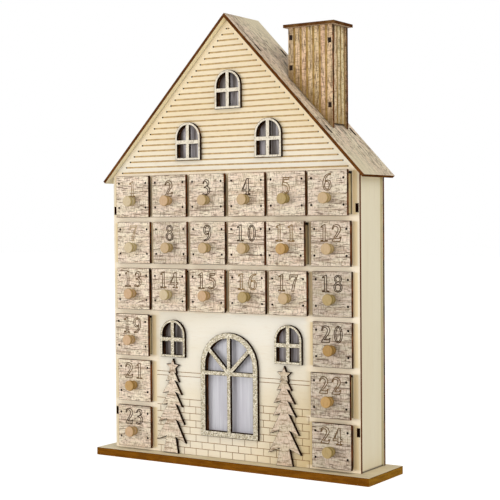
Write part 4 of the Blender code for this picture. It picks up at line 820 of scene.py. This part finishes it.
def turned_wood(name, pale, deep):
    """The knobs' beech: lengthwise grain that shows as bands on the flat head, and painted shade on the
    sides.
    """
    recipe = Recipe(name)
    flecks = recipe.pattern(*KNOB_FLECKS)
    colour = recipe.stain(pale, deep, recipe.pattern(*KNOB_BANDS), *KNOB_BAND_SHARES)
    colour = recipe.stain(colour, deep, flecks, *KNOB_FLECK_SHARES)
    # Painted shade on the knob's sides, away from its forward-looking head
    ahead = recipe.along(AXIS_FRONT, recipe.normal)
    colour = recipe.stain(colour, recipe.tint(deep, KNOB_SIDE_SHADE), ahead, *KNOB_SIDE_SHADE_SHARES)
    recipe.bump(flecks, *KNOB_RELIEF)
    return recipe.finish(colour, KNOB_ROUGHNESS)


def plastic(name):
    """Dark moulded plastic with a fine spark-eroded texture."""
    recipe = Recipe(name)
    grain = recipe.pattern(*PLASTIC_GRAIN)
    recipe.bump(grain, *PLASTIC_RELIEF)
    colour = recipe.stain(PLASTIC_BLACK, PLASTIC_GREY, grain, *PLASTIC_SHARES)
    return recipe.finish(colour, recipe.level(grain, *PLASTIC_ROUGHNESS), 0.0, PLASTIC_GLOSS)


def cell_jacket(name):
    """A plain two-tone battery jacket with a metal sheen."""
    recipe = Recipe(name)
    colour = recipe.stain(JACKET_BLACK, JACKET_GOLD, recipe.along(AXIS_X), *JACKET_BAND)
    roughness = recipe.level(recipe.pattern(*JACKET_SCUFFS), *JACKET_ROUGHNESS)
    return recipe.finish(colour, roughness, JACKET_METAL, PLASTIC_GLOSS)


def clear_wire(name):
    """The light string: pale insulation with milky patches."""
    recipe = Recipe(name)
    twist = recipe.pattern(*WIRE_TWIST)
    recipe.bump(twist, *WIRE_RELIEF)
    colour = recipe.stain(WIRE_CLEAR, SHEET_WHITE, twist, *WIRE_SHARES)
    return recipe.finish(colour, WIRE_ROUGHNESS, 0.0, PLASTIC_GLOSS)


def clean_mesh(name, node):
    """The node's own mesh with its split corners joined and its flat faces whole."""
    work = bmesh.new()
    work.from_mesh(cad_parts[node].data)
    bmesh.ops.remove_doubles(work, verts=work.verts, dist=JOIN_LIMIT)
    bmesh.ops.dissolve_limit(work, angle_limit=FLAT_LIMIT, verts=work.verts, edges=work.edges)
    bmesh.ops.recalc_face_normals(work, faces=work.faces)
    for face in work.faces:
        face.smooth = False
    return filled(name, work)


def filled(name, work, *finishes):
    """A new mesh from a bmesh, which is used up, with its finishes."""
    mesh = bpy.data.meshes.new(name)
    work.to_mesh(mesh)
    work.free()
    for finish in finishes:
        mesh.materials.append(finish)
    return mesh


def put(name, mesh):
    """A new object at the frame's origin."""
    result = bpy.data.objects.new(name, mesh)
    bpy.context.scene.collection.objects.link(result)
    return result


def evaluated(source):
    """The mesh of an object with its modifiers, at rest in the frame."""
    graph = bpy.context.evaluated_depsgraph_get()
    mesh = bpy.data.meshes.new_from_object(source.evaluated_get(graph))
    mesh.transform(source.matrix_world)
    mesh.validate()
    return mesh


def carve(name, mesh, cutters):
    """A new object: the mesh with every cutter taken out. The cutters are used up."""
    block = put(name + "_block", mesh)
    for cutter in cutters:
        modifier = block.modifiers.new("Carve", "BOOLEAN")
        modifier.operation = "DIFFERENCE"
        modifier.solver = "EXACT"
        modifier.material_mode = "TRANSFER"
        modifier.use_self = True
        modifier.object = cutter
    carved = put(name, evaluated(block))
    carved.data.name = name
    bpy.data.objects.remove(block)
    for cutter in cutters:
        bpy.data.objects.remove(cutter)
    return carved


def add_box(work, low, high):
    """A box between two corners, added to a bmesh."""
    low = Vector(low)
    high = Vector(high)
    made = bmesh.ops.create_cube(work, size=1.0)["verts"]
    bmesh.ops.scale(work, vec=high - low, verts=made)
    bmesh.ops.translate(work, vec=(low + high) / 2, verts=made)


def break_rims(work):
    """Chamfers the rims of the faces that look forward."""
    work.normal_update()
    rims = []
    for edge in work.edges:
        ahead = [face.normal.y < -FACE_LIMIT for face in edge.link_faces]
        if len(ahead) == 2 and ahead[0] != ahead[1]:
            rims.append(edge)
    bmesh.ops.bevel(work, geom=rims, offset=RIM_CHAMFER, offset_type="OFFSET", segments=1, profile=0.5,
                    affect="EDGES", clamp_overlap=True)


def add_pit(work, x, z, face, depth, radius):
    """A short round cutter into a face that looks forward, added to a bmesh."""
    near = face - CUT_OVERRUN
    far = face + depth
    turn = Matrix.Translation((x, (near + far) / 2, z)) @ Matrix.Rotation(math.radians(90), 4, "X")
    bmesh.ops.create_cone(work, cap_ends=True, segments=PIT_SIDES, radius1=radius, radius2=radius,
                          depth=far - near, matrix=turn)


def cutter_object(name, work, finish):
    """Turns a bmesh into a cutter that leaves its own finish in the cut."""
    bmesh.ops.recalc_face_normals(work, faces=work.faces)
    return put(name, filled(name, work, finish))


def stand_in(piece, node, carrier):
    """Gives a piece its node's place in the frame."""
    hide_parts(node)
    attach(piece, carrier)


def siding_ends():
    """Height and half length of each siding line."""
    for step in range(SIDING_COUNT):
        z = SIDING_FIRST + step * SIDING_PITCH
        yield z, (GABLE_HEIGHT - z) / math.tan(SLOPE) - SIDING_INSET


def add_line(work, half, z, width, depth):
    """A level line in the middle of the front, added to a bmesh."""
    add_box(work, (-half, FRONT - CUT_OVERRUN, FLOOR + z - width / 2),
            (half, FRONT + depth, FLOOR + z + width / 2))


def front_wall_cutters(finishes):
    """Siding lines and their end pits, brick courses and upright joints, border lines."""
    lines = bmesh.new()
    ends = bmesh.new()
    for z, half in siding_ends():
        add_line(lines, half, z, SIDING_WIDTH, SIDING_DEPTH)
        for side in (-1, 1):
            add_pit(ends, side * half, FLOOR + z, FRONT, SIDING_END_DEPTH, SIDING_END_RADIUS)
    courses = bmesh.new()
    heights = [course * BRICK_HEIGHT for course in range(1, BRICK_COURSES + 1)]
    for z in heights + list(BORDER_LINES):
        add_line(courses, BRICK_HALF_WIDTH, z, BRICK_LINE, BRICK_DEPTH)
    joints = bmesh.new()
    reach = int(BRICK_HALF_WIDTH / BRICK_LENGTH) + 1
    for course in range(BRICK_COURSES):
        shift = BRICK_SHIFT + (BRICK_LENGTH / 2 if course % 2 else 0)
        for step in range(-reach, reach + 1):
            x = shift + step * BRICK_LENGTH
            if abs(x) < BRICK_HALF_WIDTH:
                low = FLOOR + course * BRICK_HEIGHT + (SEAT_GAP if course == 0 else 0)
                high = FLOOR + (course + 1) * BRICK_HEIGHT
                add_box(joints, (x - BRICK_LINE / 2, FRONT - CUT_OVERRUN, low),
                        (x + BRICK_LINE / 2, FRONT + BRICK_DEPTH, high))
    return [
        cutter_object("siding_cutter", lines, finishes["siding_line"]),
        cutter_object("siding_end_cutter", ends, finishes["char"]),
        cutter_object("course_cutter", courses, finishes["brick_line"]),
        cutter_object("joint_cutter", joints, finishes["brick_line"]),
    ]


def make_front_wall(finishes):
    """The front panel with its engraved siding and bricks."""
    mesh = clean_mesh("front_wall_blank", "front_panel")
    mesh.materials.append(finishes["front_wall"])
    wall = carve("front_wall", mesh, front_wall_cutters(finishes))
    stand_in(wall, "front_panel", "house")


def cut_depths(face, outward, depth):
    """Both ends of a cut into a face, the lower coordinate first."""
    return sorted((face + outward * CUT_OVERRUN, face - outward * depth))


def groove_places(middle, count):
    """Where a chimney wall's grooves lie."""
    return [middle + (step - (count - 1) / 2) * CHIMNEY_GROOVE_PITCH for step in range(count)]


def make_chimney(finishes):
    """The chimney's walls with their upright grooves."""
    half = CHIMNEY_GROOVE_WIDTH / 2
    low = FLOOR + CHIMNEY_FOOT
    high = FLOOR + CHIMNEY_TOP + CUT_OVERRUN
    for node, face, outward in (("chimney_front", CHIMNEY_FRONT, -1), ("chimney_back", CHIMNEY_BACK, 1)):
        near, far = cut_depths(face, outward, CHIMNEY_GROOVE_DEPTH)
        work = bmesh.new()
        for x in groove_places(CHIMNEY_X, CHIMNEY_FRONT_GROOVES):
            add_box(work, (x - half, near, low), (x + half, far, high))
        grooved_wall(node, finishes["chimney_y"], work, (outward,), finishes)
    for node, outward in (("chimney_left", -1), ("chimney_right", 1)):
        near, far = cut_depths(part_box(node)[(outward + 1) // 2][0], outward, CHIMNEY_GROOVE_DEPTH)
        work = bmesh.new()
        for y in groove_places(CHIMNEY_Y, CHIMNEY_SIDE_GROOVES):
            add_box(work, (near, y - half, low - CHIMNEY_SIDE_REACH), (far, y + half, high))
        grooved_wall(node, finishes["chimney_x"], work, (-1, 1), finishes)


def tenon_ends(node, outward):
    """Outlines, in X and Z and drawn in a little, of the tenon ends on a node's front or back."""
    mesh = clean_mesh("tenon_scan", node)
    face_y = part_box(node)[(outward + 1) // 2][1]
    loops = []
    for face in mesh.polygons:
        if face.normal.y * outward > FACE_LIMIT and abs(face.center.y - face_y) < SEAT_GAP:
            loop = []
            for index in face.vertices:
                corner = mesh.vertices[index].co
                loop.append(Vector((corner.x - math.copysign(TENON_RIM_INSET, corner.x - face.center.x),
                                    corner.z - math.copysign(TENON_RIM_INSET, corner.z - face.center.z))))
            loops.append(loop)
    bpy.data.meshes.remove(mesh)
    return loops


def rim_cutter(name, ways, finish):
    """The burnt rims round the chimney's tenon ends, on its front, its back or both."""
    work = bmesh.new()
    for outward in ways:
        face = CHIMNEY_BACK if outward > 0 else CHIMNEY_FRONT
        near, far = cut_depths(face, outward, TENON_RIM_DEPTH)
        for node in ("chimney_left", "chimney_right"):
            for loop in tenon_ends(node, outward):
                add_band(work, loop, TENON_RIM, near, far)
    return cutter_object(name, work, finish)


def grooved_wall(node, board, grooves, ways, finishes):
    """Replaces a chimney wall with its grooved self, its tenon ends burnt on the front, the back or both."""
    cutters = [cutter_object(node + "_cutter", grooves, finishes["chimney_line"]),
               rim_cutter(node + "_rims", ways, finishes["char"])]
    mesh = clean_mesh(node + "_blank", node)
    mesh.materials.append(board)
    stand_in(carve(node + "_grooved", mesh, cutters), node, "house")


def make_trims(finishes):
    """The trees and window frames."""
    for node in ("tree_left", "tree_right"):
        make_trim(node, finishes[node])
    for node in ("large_window_frame", "lower_window_left", "lower_window_right"):
        make_trim(node, finishes["glitter"])
    for node in ("gable_window_left", "gable_window_right", "gable_window_top"):
        make_trim(node, finishes["painted_frame"])


def make_trim(node, finish):
    """A tree or window frame with its rims broken."""
    mesh = clean_mesh(node + "_trim", node)
    work = bmesh.new()
    work.from_mesh(mesh)
    break_rims(work)
    for face in work.faces:
        face.smooth = False
    work.to_mesh(mesh)
    work.free()
    mesh.materials.append(finish)
    stand_in(put(node + "_trim", mesh), node, "house")


def smooth_loop(shares):
    """A closed outline through its points, curved at the smooth ones and straight between corners."""
    count = len(shares)
    path = []
    for index in range(count):
        start = shares[index]
        end = shares[(index + 1) % count]
        first = Vector(start[:2])
        last = Vector(end[:2])
        if not start[2] and not end[2]:
            path.append(first)
            continue
        before = Vector(shares[index - 1][:2]) if start[2] else first
        after = Vector(shares[(index + 2) % count][:2]) if end[2] else last
        for step in range(OUTLINE_STEPS):
            t = step / OUTLINE_STEPS
            path.append((2 * first + (last - before) * t
                         + (2 * before - 5 * first + 4 * last - after) * t ** 2
                         + (3 * first - before - 3 * last + after) * t ** 3) / 2)
    return path


def oval(middle_x, middle_z, half_width, half_height):
    """A closed oval outline."""
    path = []
    for step in range(OVAL_STEPS):
        angle = 2 * math.pi * step / OVAL_STEPS
        path.append(Vector((middle_x + half_width * math.cos(angle),
                            middle_z + half_height * math.sin(angle))))
    return path


def digit_loops(digit):
    """Every closed outline of a digit. A nine is a six upside down."""
    loops = []
    if digit == "9":
        for loop in digit_loops("6"):
            loops.append([Vector((DIGIT_WIDTH_SHARE - point.x, 1 - point.y)) for point in loop])
    if digit in DIGIT_OUTLINE_SHARES:
        loops.append(smooth_loop(DIGIT_OUTLINE_SHARES[digit]))
    if digit == "4":
        loops.append(smooth_loop(DIGIT_TRIANGLE_SHARES))
    for share in DIGIT_OVAL_SHARES.get(digit, ()):
        loops.append(oval(*share))
    return loops


def add_band(work, loop, width, near, far):
    """A solid band of even width that follows a closed outline, added to a bmesh."""
    rings = []
    count = len(loop)
    for index, point in enumerate(loop):
        arriving = (point - loop[index - 1]).normalized()
        leaving = (loop[(index + 1) % count] - point).normalized()
        side = Vector((-arriving.y - leaving.y, arriving.x + leaving.x)).normalized()
        reach = width / 2 / max(side.dot(Vector((-arriving.y, arriving.x))), 1 / MITRE_LIMIT)
        left = point + side * reach
        right = point - side * reach
        rings.append([work.verts.new((left.x, near, left.y)), work.verts.new((left.x, far, left.y)),
                      work.verts.new((right.x, far, right.y)), work.verts.new((right.x, near, right.y))])
    for index in range(count):
        first = rings[index]
        second = rings[(index + 1) % count]
        for corner in range(4):
            follow = (corner + 1) % 4
            work.faces.new((first[corner], second[corner], second[follow], first[follow]))


def number_cutter(name, text, centre_x, centre_z, face, finish):
    """The engraved outline of a drawer's number as one cutter."""
    work = bmesh.new()
    width = DIGIT_HEIGHT * DIGIT_STRETCH
    for place, digit in enumerate(text):
        middle = centre_x + (place - (len(text) - 1) / 2) * DIGIT_SPACING
        corner = Vector((middle - DIGIT_WIDTH_SHARE * width / 2, centre_z - DIGIT_HEIGHT / 2))
        for loop in digit_loops(digit):
            path = [corner + Vector((point.x * width, point.y * DIGIT_HEIGHT)) for point in loop]
            add_band(work, path, DIGIT_LINE, face - CUT_OVERRUN, face + DIGIT_DEPTH)
    return cutter_object(name, work, finish)


def turned_knob(x, z, face, finish):
    """A smooth turned knob that stands on a plate's face."""
    work = bmesh.new()
    rows = []
    for across, up in KNOB_PROFILE_SHARES:
        ring = []
        for step in range(KNOB_SIDES):
            angle = 2 * math.pi * step / KNOB_SIDES
            radius = across * KNOB_RADIUS
            ring.append(work.verts.new((x + radius * math.cos(angle), face - up * KNOB_LENGTH,
                                        z + radius * math.sin(angle))))
        rows.append(ring)
    for first, second in zip(rows, rows[1:]):
        for step in range(KNOB_SIDES):
            follow = (step + 1) % KNOB_SIDES
            work.faces.new((first[step], second[step], second[follow], first[follow])).smooth = True
    work.faces.new(rows[0])
    work.faces.new(list(reversed(rows[-1])))
    bmesh.ops.recalc_face_normals(work, faces=work.faces)
    return put("knob", filled("knob", work, finish))


def tray(x, y, z, finish):
    """The drawer's tray: five thin boards in one mesh."""
    half = TRAY_WIDTH / 2
    front = y - SEAT_GAP
    back = y + TRAY_BACK
    low = z + TRAY_LOW
    high = z + TRAY_HIGH
    work = bmesh.new()
    add_box(work, (x - half, front, low), (x - half + PLY, back, high))
    add_box(work, (x + half - PLY, front, low), (x + half, back, high))
    add_box(work, (x - half + PLY, front, low), (x + half - PLY, front + PLY, high))
    add_box(work, (x - half + PLY, back - PLY, low), (x + half - PLY, back, high))
    add_box(work, (x - half + PLY, front + PLY, low), (x + half - PLY, back - PLY, low + PLY))
    return put("tray", filled("tray", work, finish))


def drawer_places():
    """Column and row of each drawer, in the order of their numbers."""
    places = [(column, row) for row in range(ROWS - FULL_ROWS) for column in range(COLUMNS)]
    for row in range(ROWS - FULL_ROWS, ROWS):
        places.extend(((0, row), (COLUMNS - 1, row)))
    return places


def make_drawer(number, column, row, pull, finishes):
    """One drawer: engraved plate, knob and tray in one piece."""
    x = (column - (COLUMNS - 1) / 2) * COLUMN_PITCH
    z = FLOOR + LOWEST_ROW + (ROWS - 1 - row) * ROW_PITCH
    y = FRONT - pull
    back = y - SEAT_GAP
    face = back - PLY
    work = bmesh.new()
    add_box(work, (x - PLATE_WIDTH / 2, face, z - PLATE_HEIGHT / 2),
            (x + PLATE_WIDTH / 2, back, z + PLATE_HEIGHT / 2))
    break_rims(work)
    mesh = filled("plate", work, finishes["plate_%d" % PLATE_TONES_AND_SHADE[number - 1]])
    pits = bmesh.new()
    for side in (-1, 1):
        for rise in (PIT_HIGH, PIT_LOW):
            add_pit(pits, x + side * PIT_X, z + rise, face, PIT_DEPTH, PIT_RADIUS)
    name = "drawer_%02d" % number
    middle = z + DIGIT_RISE - (LOW_NUMBER_DROP if number in LOW_NUMBERS else 0)
    number_finish = finishes["number_%d" % NUMBER_TONE_CHOICES[number - 1]]
    cutters = [cutter_object(name + "_pits", pits, finishes["char"]),
               number_cutter(name + "_number", str(number), x, middle, face, number_finish)]
    piece = carve(name + "_dressed", mesh, cutters)
    join_mesh(piece, turned_knob(x, z - KNOB_DROP, face, finishes["knob_%d" % KNOB_TONES[number - 1]]))
    join_mesh(piece, tray(x, y, z, finishes["tray_board"]))
    stand_in(piece, name, name)


def join_mesh(target, extra):
    """Adds the mesh of an object with one material to another's, and removes the object."""
    index = len(target.data.materials)
    target.data.materials.append(extra.data.materials[0])
    work = bmesh.new()
    work.from_mesh(target.data)
    before = len(work.faces)
    work.from_mesh(extra.data)
    work.faces.ensure_lookup_table()
    for face in work.faces[before:]:
        face.material_index = index
    work.to_mesh(target.data)
    work.free()
    bpy.data.objects.remove(extra)


def dress(thing, finish):
    """Gives a CAD node a finish."""
    if not thing.material_slots:
        thing.data.materials.append(finish)
    for holder in thing.material_slots:
        holder.material = finish


def make_finishes():
    """The house's materials by their names."""
    stack = (STACK_LIGHT, STACK_MIDDLE, STACK_DARK)
    stack_side = (STACK_BRIGHT, STACK_LIGHT, STACK_DARK)
    whitewash = (WHITEWASH_LIGHT, WHITEWASH_MIDDLE, WHITEWASH_DARK)
    shaded_whitewash = (WHITEWASH_SHADED, WHITEWASH_MIDDLE, WHITEWASH_DARK)
    finishes = {}
    for name, make, *details in (
        ("front_wall", front_board),
        ("back_wall", back_board),
        ("side_wall", side_board),
        ("inside_board", inside_board),
        ("roof_right", roof_board, RIGHT_SLOPE, RIGHT_FALL),
        ("roof_left", roof_board, LEFT_SLOPE, LEFT_FALL),
        ("chimney_y", stack_board, AXIS_Y, AXIS_X, CHIMNEY_X, stack, STACK_SHADE),
        ("chimney_x", stack_board, AXIS_X, AXIS_Y, CHIMNEY_Y, stack_side, STACK_OLIVE),
        ("chimney_cap", printed_board, AXIS_Z, AXIS_X, AXIS_Y, stack, (ROOF_BURN, CAP_BROWN)),
        ("tree_left", printed_board, AXIS_Y, AXIS_X, AXIS_Z, whitewash, (CHAR, SCORCH_DARK)),
        # Painted shade: the right-hand tree gets the dimmer whitewash
        ("tree_right", printed_board, AXIS_Y, AXIS_X, AXIS_Z, shaded_whitewash, (CHAR, SCORCH_DARK)),
        ("siding_line", groove, SIDING_TAN, SIDING_PALE),
        ("brick_line", groove, LINE_BROWN, LINE_TAN),
        ("chimney_line", groove, STACK_LINE, STACK_LINE_PALE),
        ("char", groove, CHAR, SCORCH_DARK),
        ("glitter", glitter),
        ("painted_frame", painted_frame),
        ("frosted", frosted, SHEET_WHITE, SHEET_SHADE, ROOM_SHADE_FROM),
        # Painted shade: the attic's darker sheet
        ("frosted_attic", frosted, ATTIC_SHADED_WHITE, ATTIC_SHADE, 0),
        ("fibreboard", fibreboard),
        ("tray_board", inside_board, TRAY_SHADED_PALE, TRAY_SHADED_WARM),
        ("plastic", plastic),
        ("cell", cell_jacket),
        ("wire", clear_wire),
    ):
        finishes[name] = make(name, *details)
    for index, (deep, pale) in enumerate(NUMBER_TONES):
        finishes["number_%d" % index] = groove("number_%d" % index, deep, pale)
    for index, tone in enumerate(PLATE_TONE_AND_SHADE_SHARES):
        finishes["plate_%d" % index] = plate_print("plate_%d" % index, tone)
    for index, (pale, deep) in enumerate(zip(KNOB_PALE, KNOB_DEEP)):
        finishes["knob_%d" % index] = turned_wood("knob_%d" % index, pale, deep)
    return finishes


def dress_nodes(finishes):
    """Finishes for the CAD nodes that stay."""
    for finish, *nodes in (
        ("fibreboard", "base_board"),
        ("back_wall", "back_panel"),
        ("side_wall", "side_panel_left", "side_panel_right"),
        ("inside_board", "shelf_upper", "shelf_middle", "room_ceiling", "rack_left", "rack_right"),
        ("inside_board", "divider_left", "divider_middle", "divider_right"),
        ("roof_right", "roof_board_right"),
        ("roof_left", "roof_board_left"),
        ("chimney_cap", "chimney_cap"),
        ("frosted", "room_sheet"),
        ("frosted_attic", "attic_sheet"),
        ("plastic", "battery_box", "battery_cover", "switch_slider"),
        ("cell", "battery_upper", "battery_lower"),
        ("wire", "light_string"),
    ):
        for node in nodes:
            dress(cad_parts[node], finishes[finish])


def seen_rays(tree):
    """1 on rays from the camera and those that are reflected or let through, 0 on the others."""
    rays = tree.nodes.new("ShaderNodeLightPath")
    seen = rays.outputs["Is Camera Ray"]
    for way in ("Is Glossy Ray", "Is Transmission Ray"):
        both = tree.nodes.new("ShaderNodeMath")
        both.operation = "MAXIMUM"
        tree.links.new(seen, both.inputs[0])
        tree.links.new(rays.outputs[way], both.inputs[1])
        seen = both.outputs[0]
    return seen


def stage_finish():
    """Plain white for the floor, brighter to the camera."""
    recipe = Recipe("stage")
    glow = recipe.times(seen_rays(recipe.tree), FLOOR_GLOW)
    recipe.feed(recipe.shader, {"Emission Color": WHITE, "Emission Strength": glow})
    return recipe.finish(STAGE_WHITE, STAGE_ROUGHNESS)


def make_stage():
    """A wide pale floor."""
    work = bmesh.new()
    bmesh.ops.create_grid(work, x_segments=1, y_segments=1, size=FLOOR_SIZE)
    floor = put("floor", filled("floor", work, stage_finish()))


def add_area(name, place, size, power):
    """A soft rectangular light aimed at the house."""
    light = bpy.data.lights.new(name, "AREA")
    light.shape = "RECTANGLE"
    light.size, light.size_y = size
    light.energy = power
    lamp = put(name, light)
    lamp.location = place
    lamp.rotation_euler = (Vector(LIGHT_AIM) - Vector(place)).to_track_quat("-Z", "Y").to_euler()


def make_world():
    """Even white light, pure white to the camera."""
    world = bpy.data.worlds.new("world")
    bpy.context.scene.world = world
    world.use_nodes = True
    tree = world.node_tree
    background = tree.nodes["Background"]
    background.inputs["Color"].default_value = (*WHITE, 1)
    level = tree.nodes.new("ShaderNodeMapRange")
    tree.links.new(seen_rays(tree), level.inputs["Value"])
    level.inputs["To Min"].default_value = WORLD_LEVEL
    level.inputs["To Max"].default_value = 1.0
    tree.links.new(level.outputs["Result"], background.inputs["Strength"])


def make_camera():
    """The photograph's camera."""
    level = math.cos(CAMERA_PITCH)
    forward = Vector((-math.sin(CAMERA_YAW) * level, math.cos(CAMERA_YAW) * level, math.sin(CAMERA_PITCH)))
    right = forward.cross(Vector(AXIS_Z)).normalized()
    up = right.cross(forward)
    cosine = math.cos(CAMERA_ROLL)
    sine = math.sin(CAMERA_ROLL)
    tilted_right = cosine * right + sine * up
    tilted_up = cosine * up - sine * right
    turn = Matrix((tilted_right, tilted_up, -forward)).transposed()
    data = bpy.data.cameras.new("camera")
    data.sensor_width = SENSOR
    data.lens = FOCAL_LENGTH
    camera = put("camera", data)
    camera.matrix_world = Matrix.Translation(CAMERA_PLACE) @ turn.to_4x4()
    bpy.context.scene.camera = camera


def make_light():
    """A soft key from the front left and a fill from the right."""
    add_area("key", KEY_PLACE, KEY_SIZE, KEY_POWER)
    add_area("fill", FILL_PLACE, FILL_SIZE, FILL_POWER)


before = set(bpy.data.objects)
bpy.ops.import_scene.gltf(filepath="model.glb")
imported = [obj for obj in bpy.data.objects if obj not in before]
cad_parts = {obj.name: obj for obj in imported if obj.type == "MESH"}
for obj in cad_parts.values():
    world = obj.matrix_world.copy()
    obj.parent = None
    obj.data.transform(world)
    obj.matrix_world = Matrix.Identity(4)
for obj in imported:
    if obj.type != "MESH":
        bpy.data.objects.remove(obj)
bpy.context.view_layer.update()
bpy.context.scene.view_settings.view_transform = "Standard"
make_camera()
make_world()
make_light()
make_stage()
finishes = make_finishes()
dress_nodes(finishes)
make_front_wall(finishes)
make_chimney(finishes)
make_trims(finishes)
for index, ((column, row), pull) in enumerate(zip(drawer_places(), DRAWER_PULLS)):
    make_drawer(index + 1, column, row, pull, finishes)
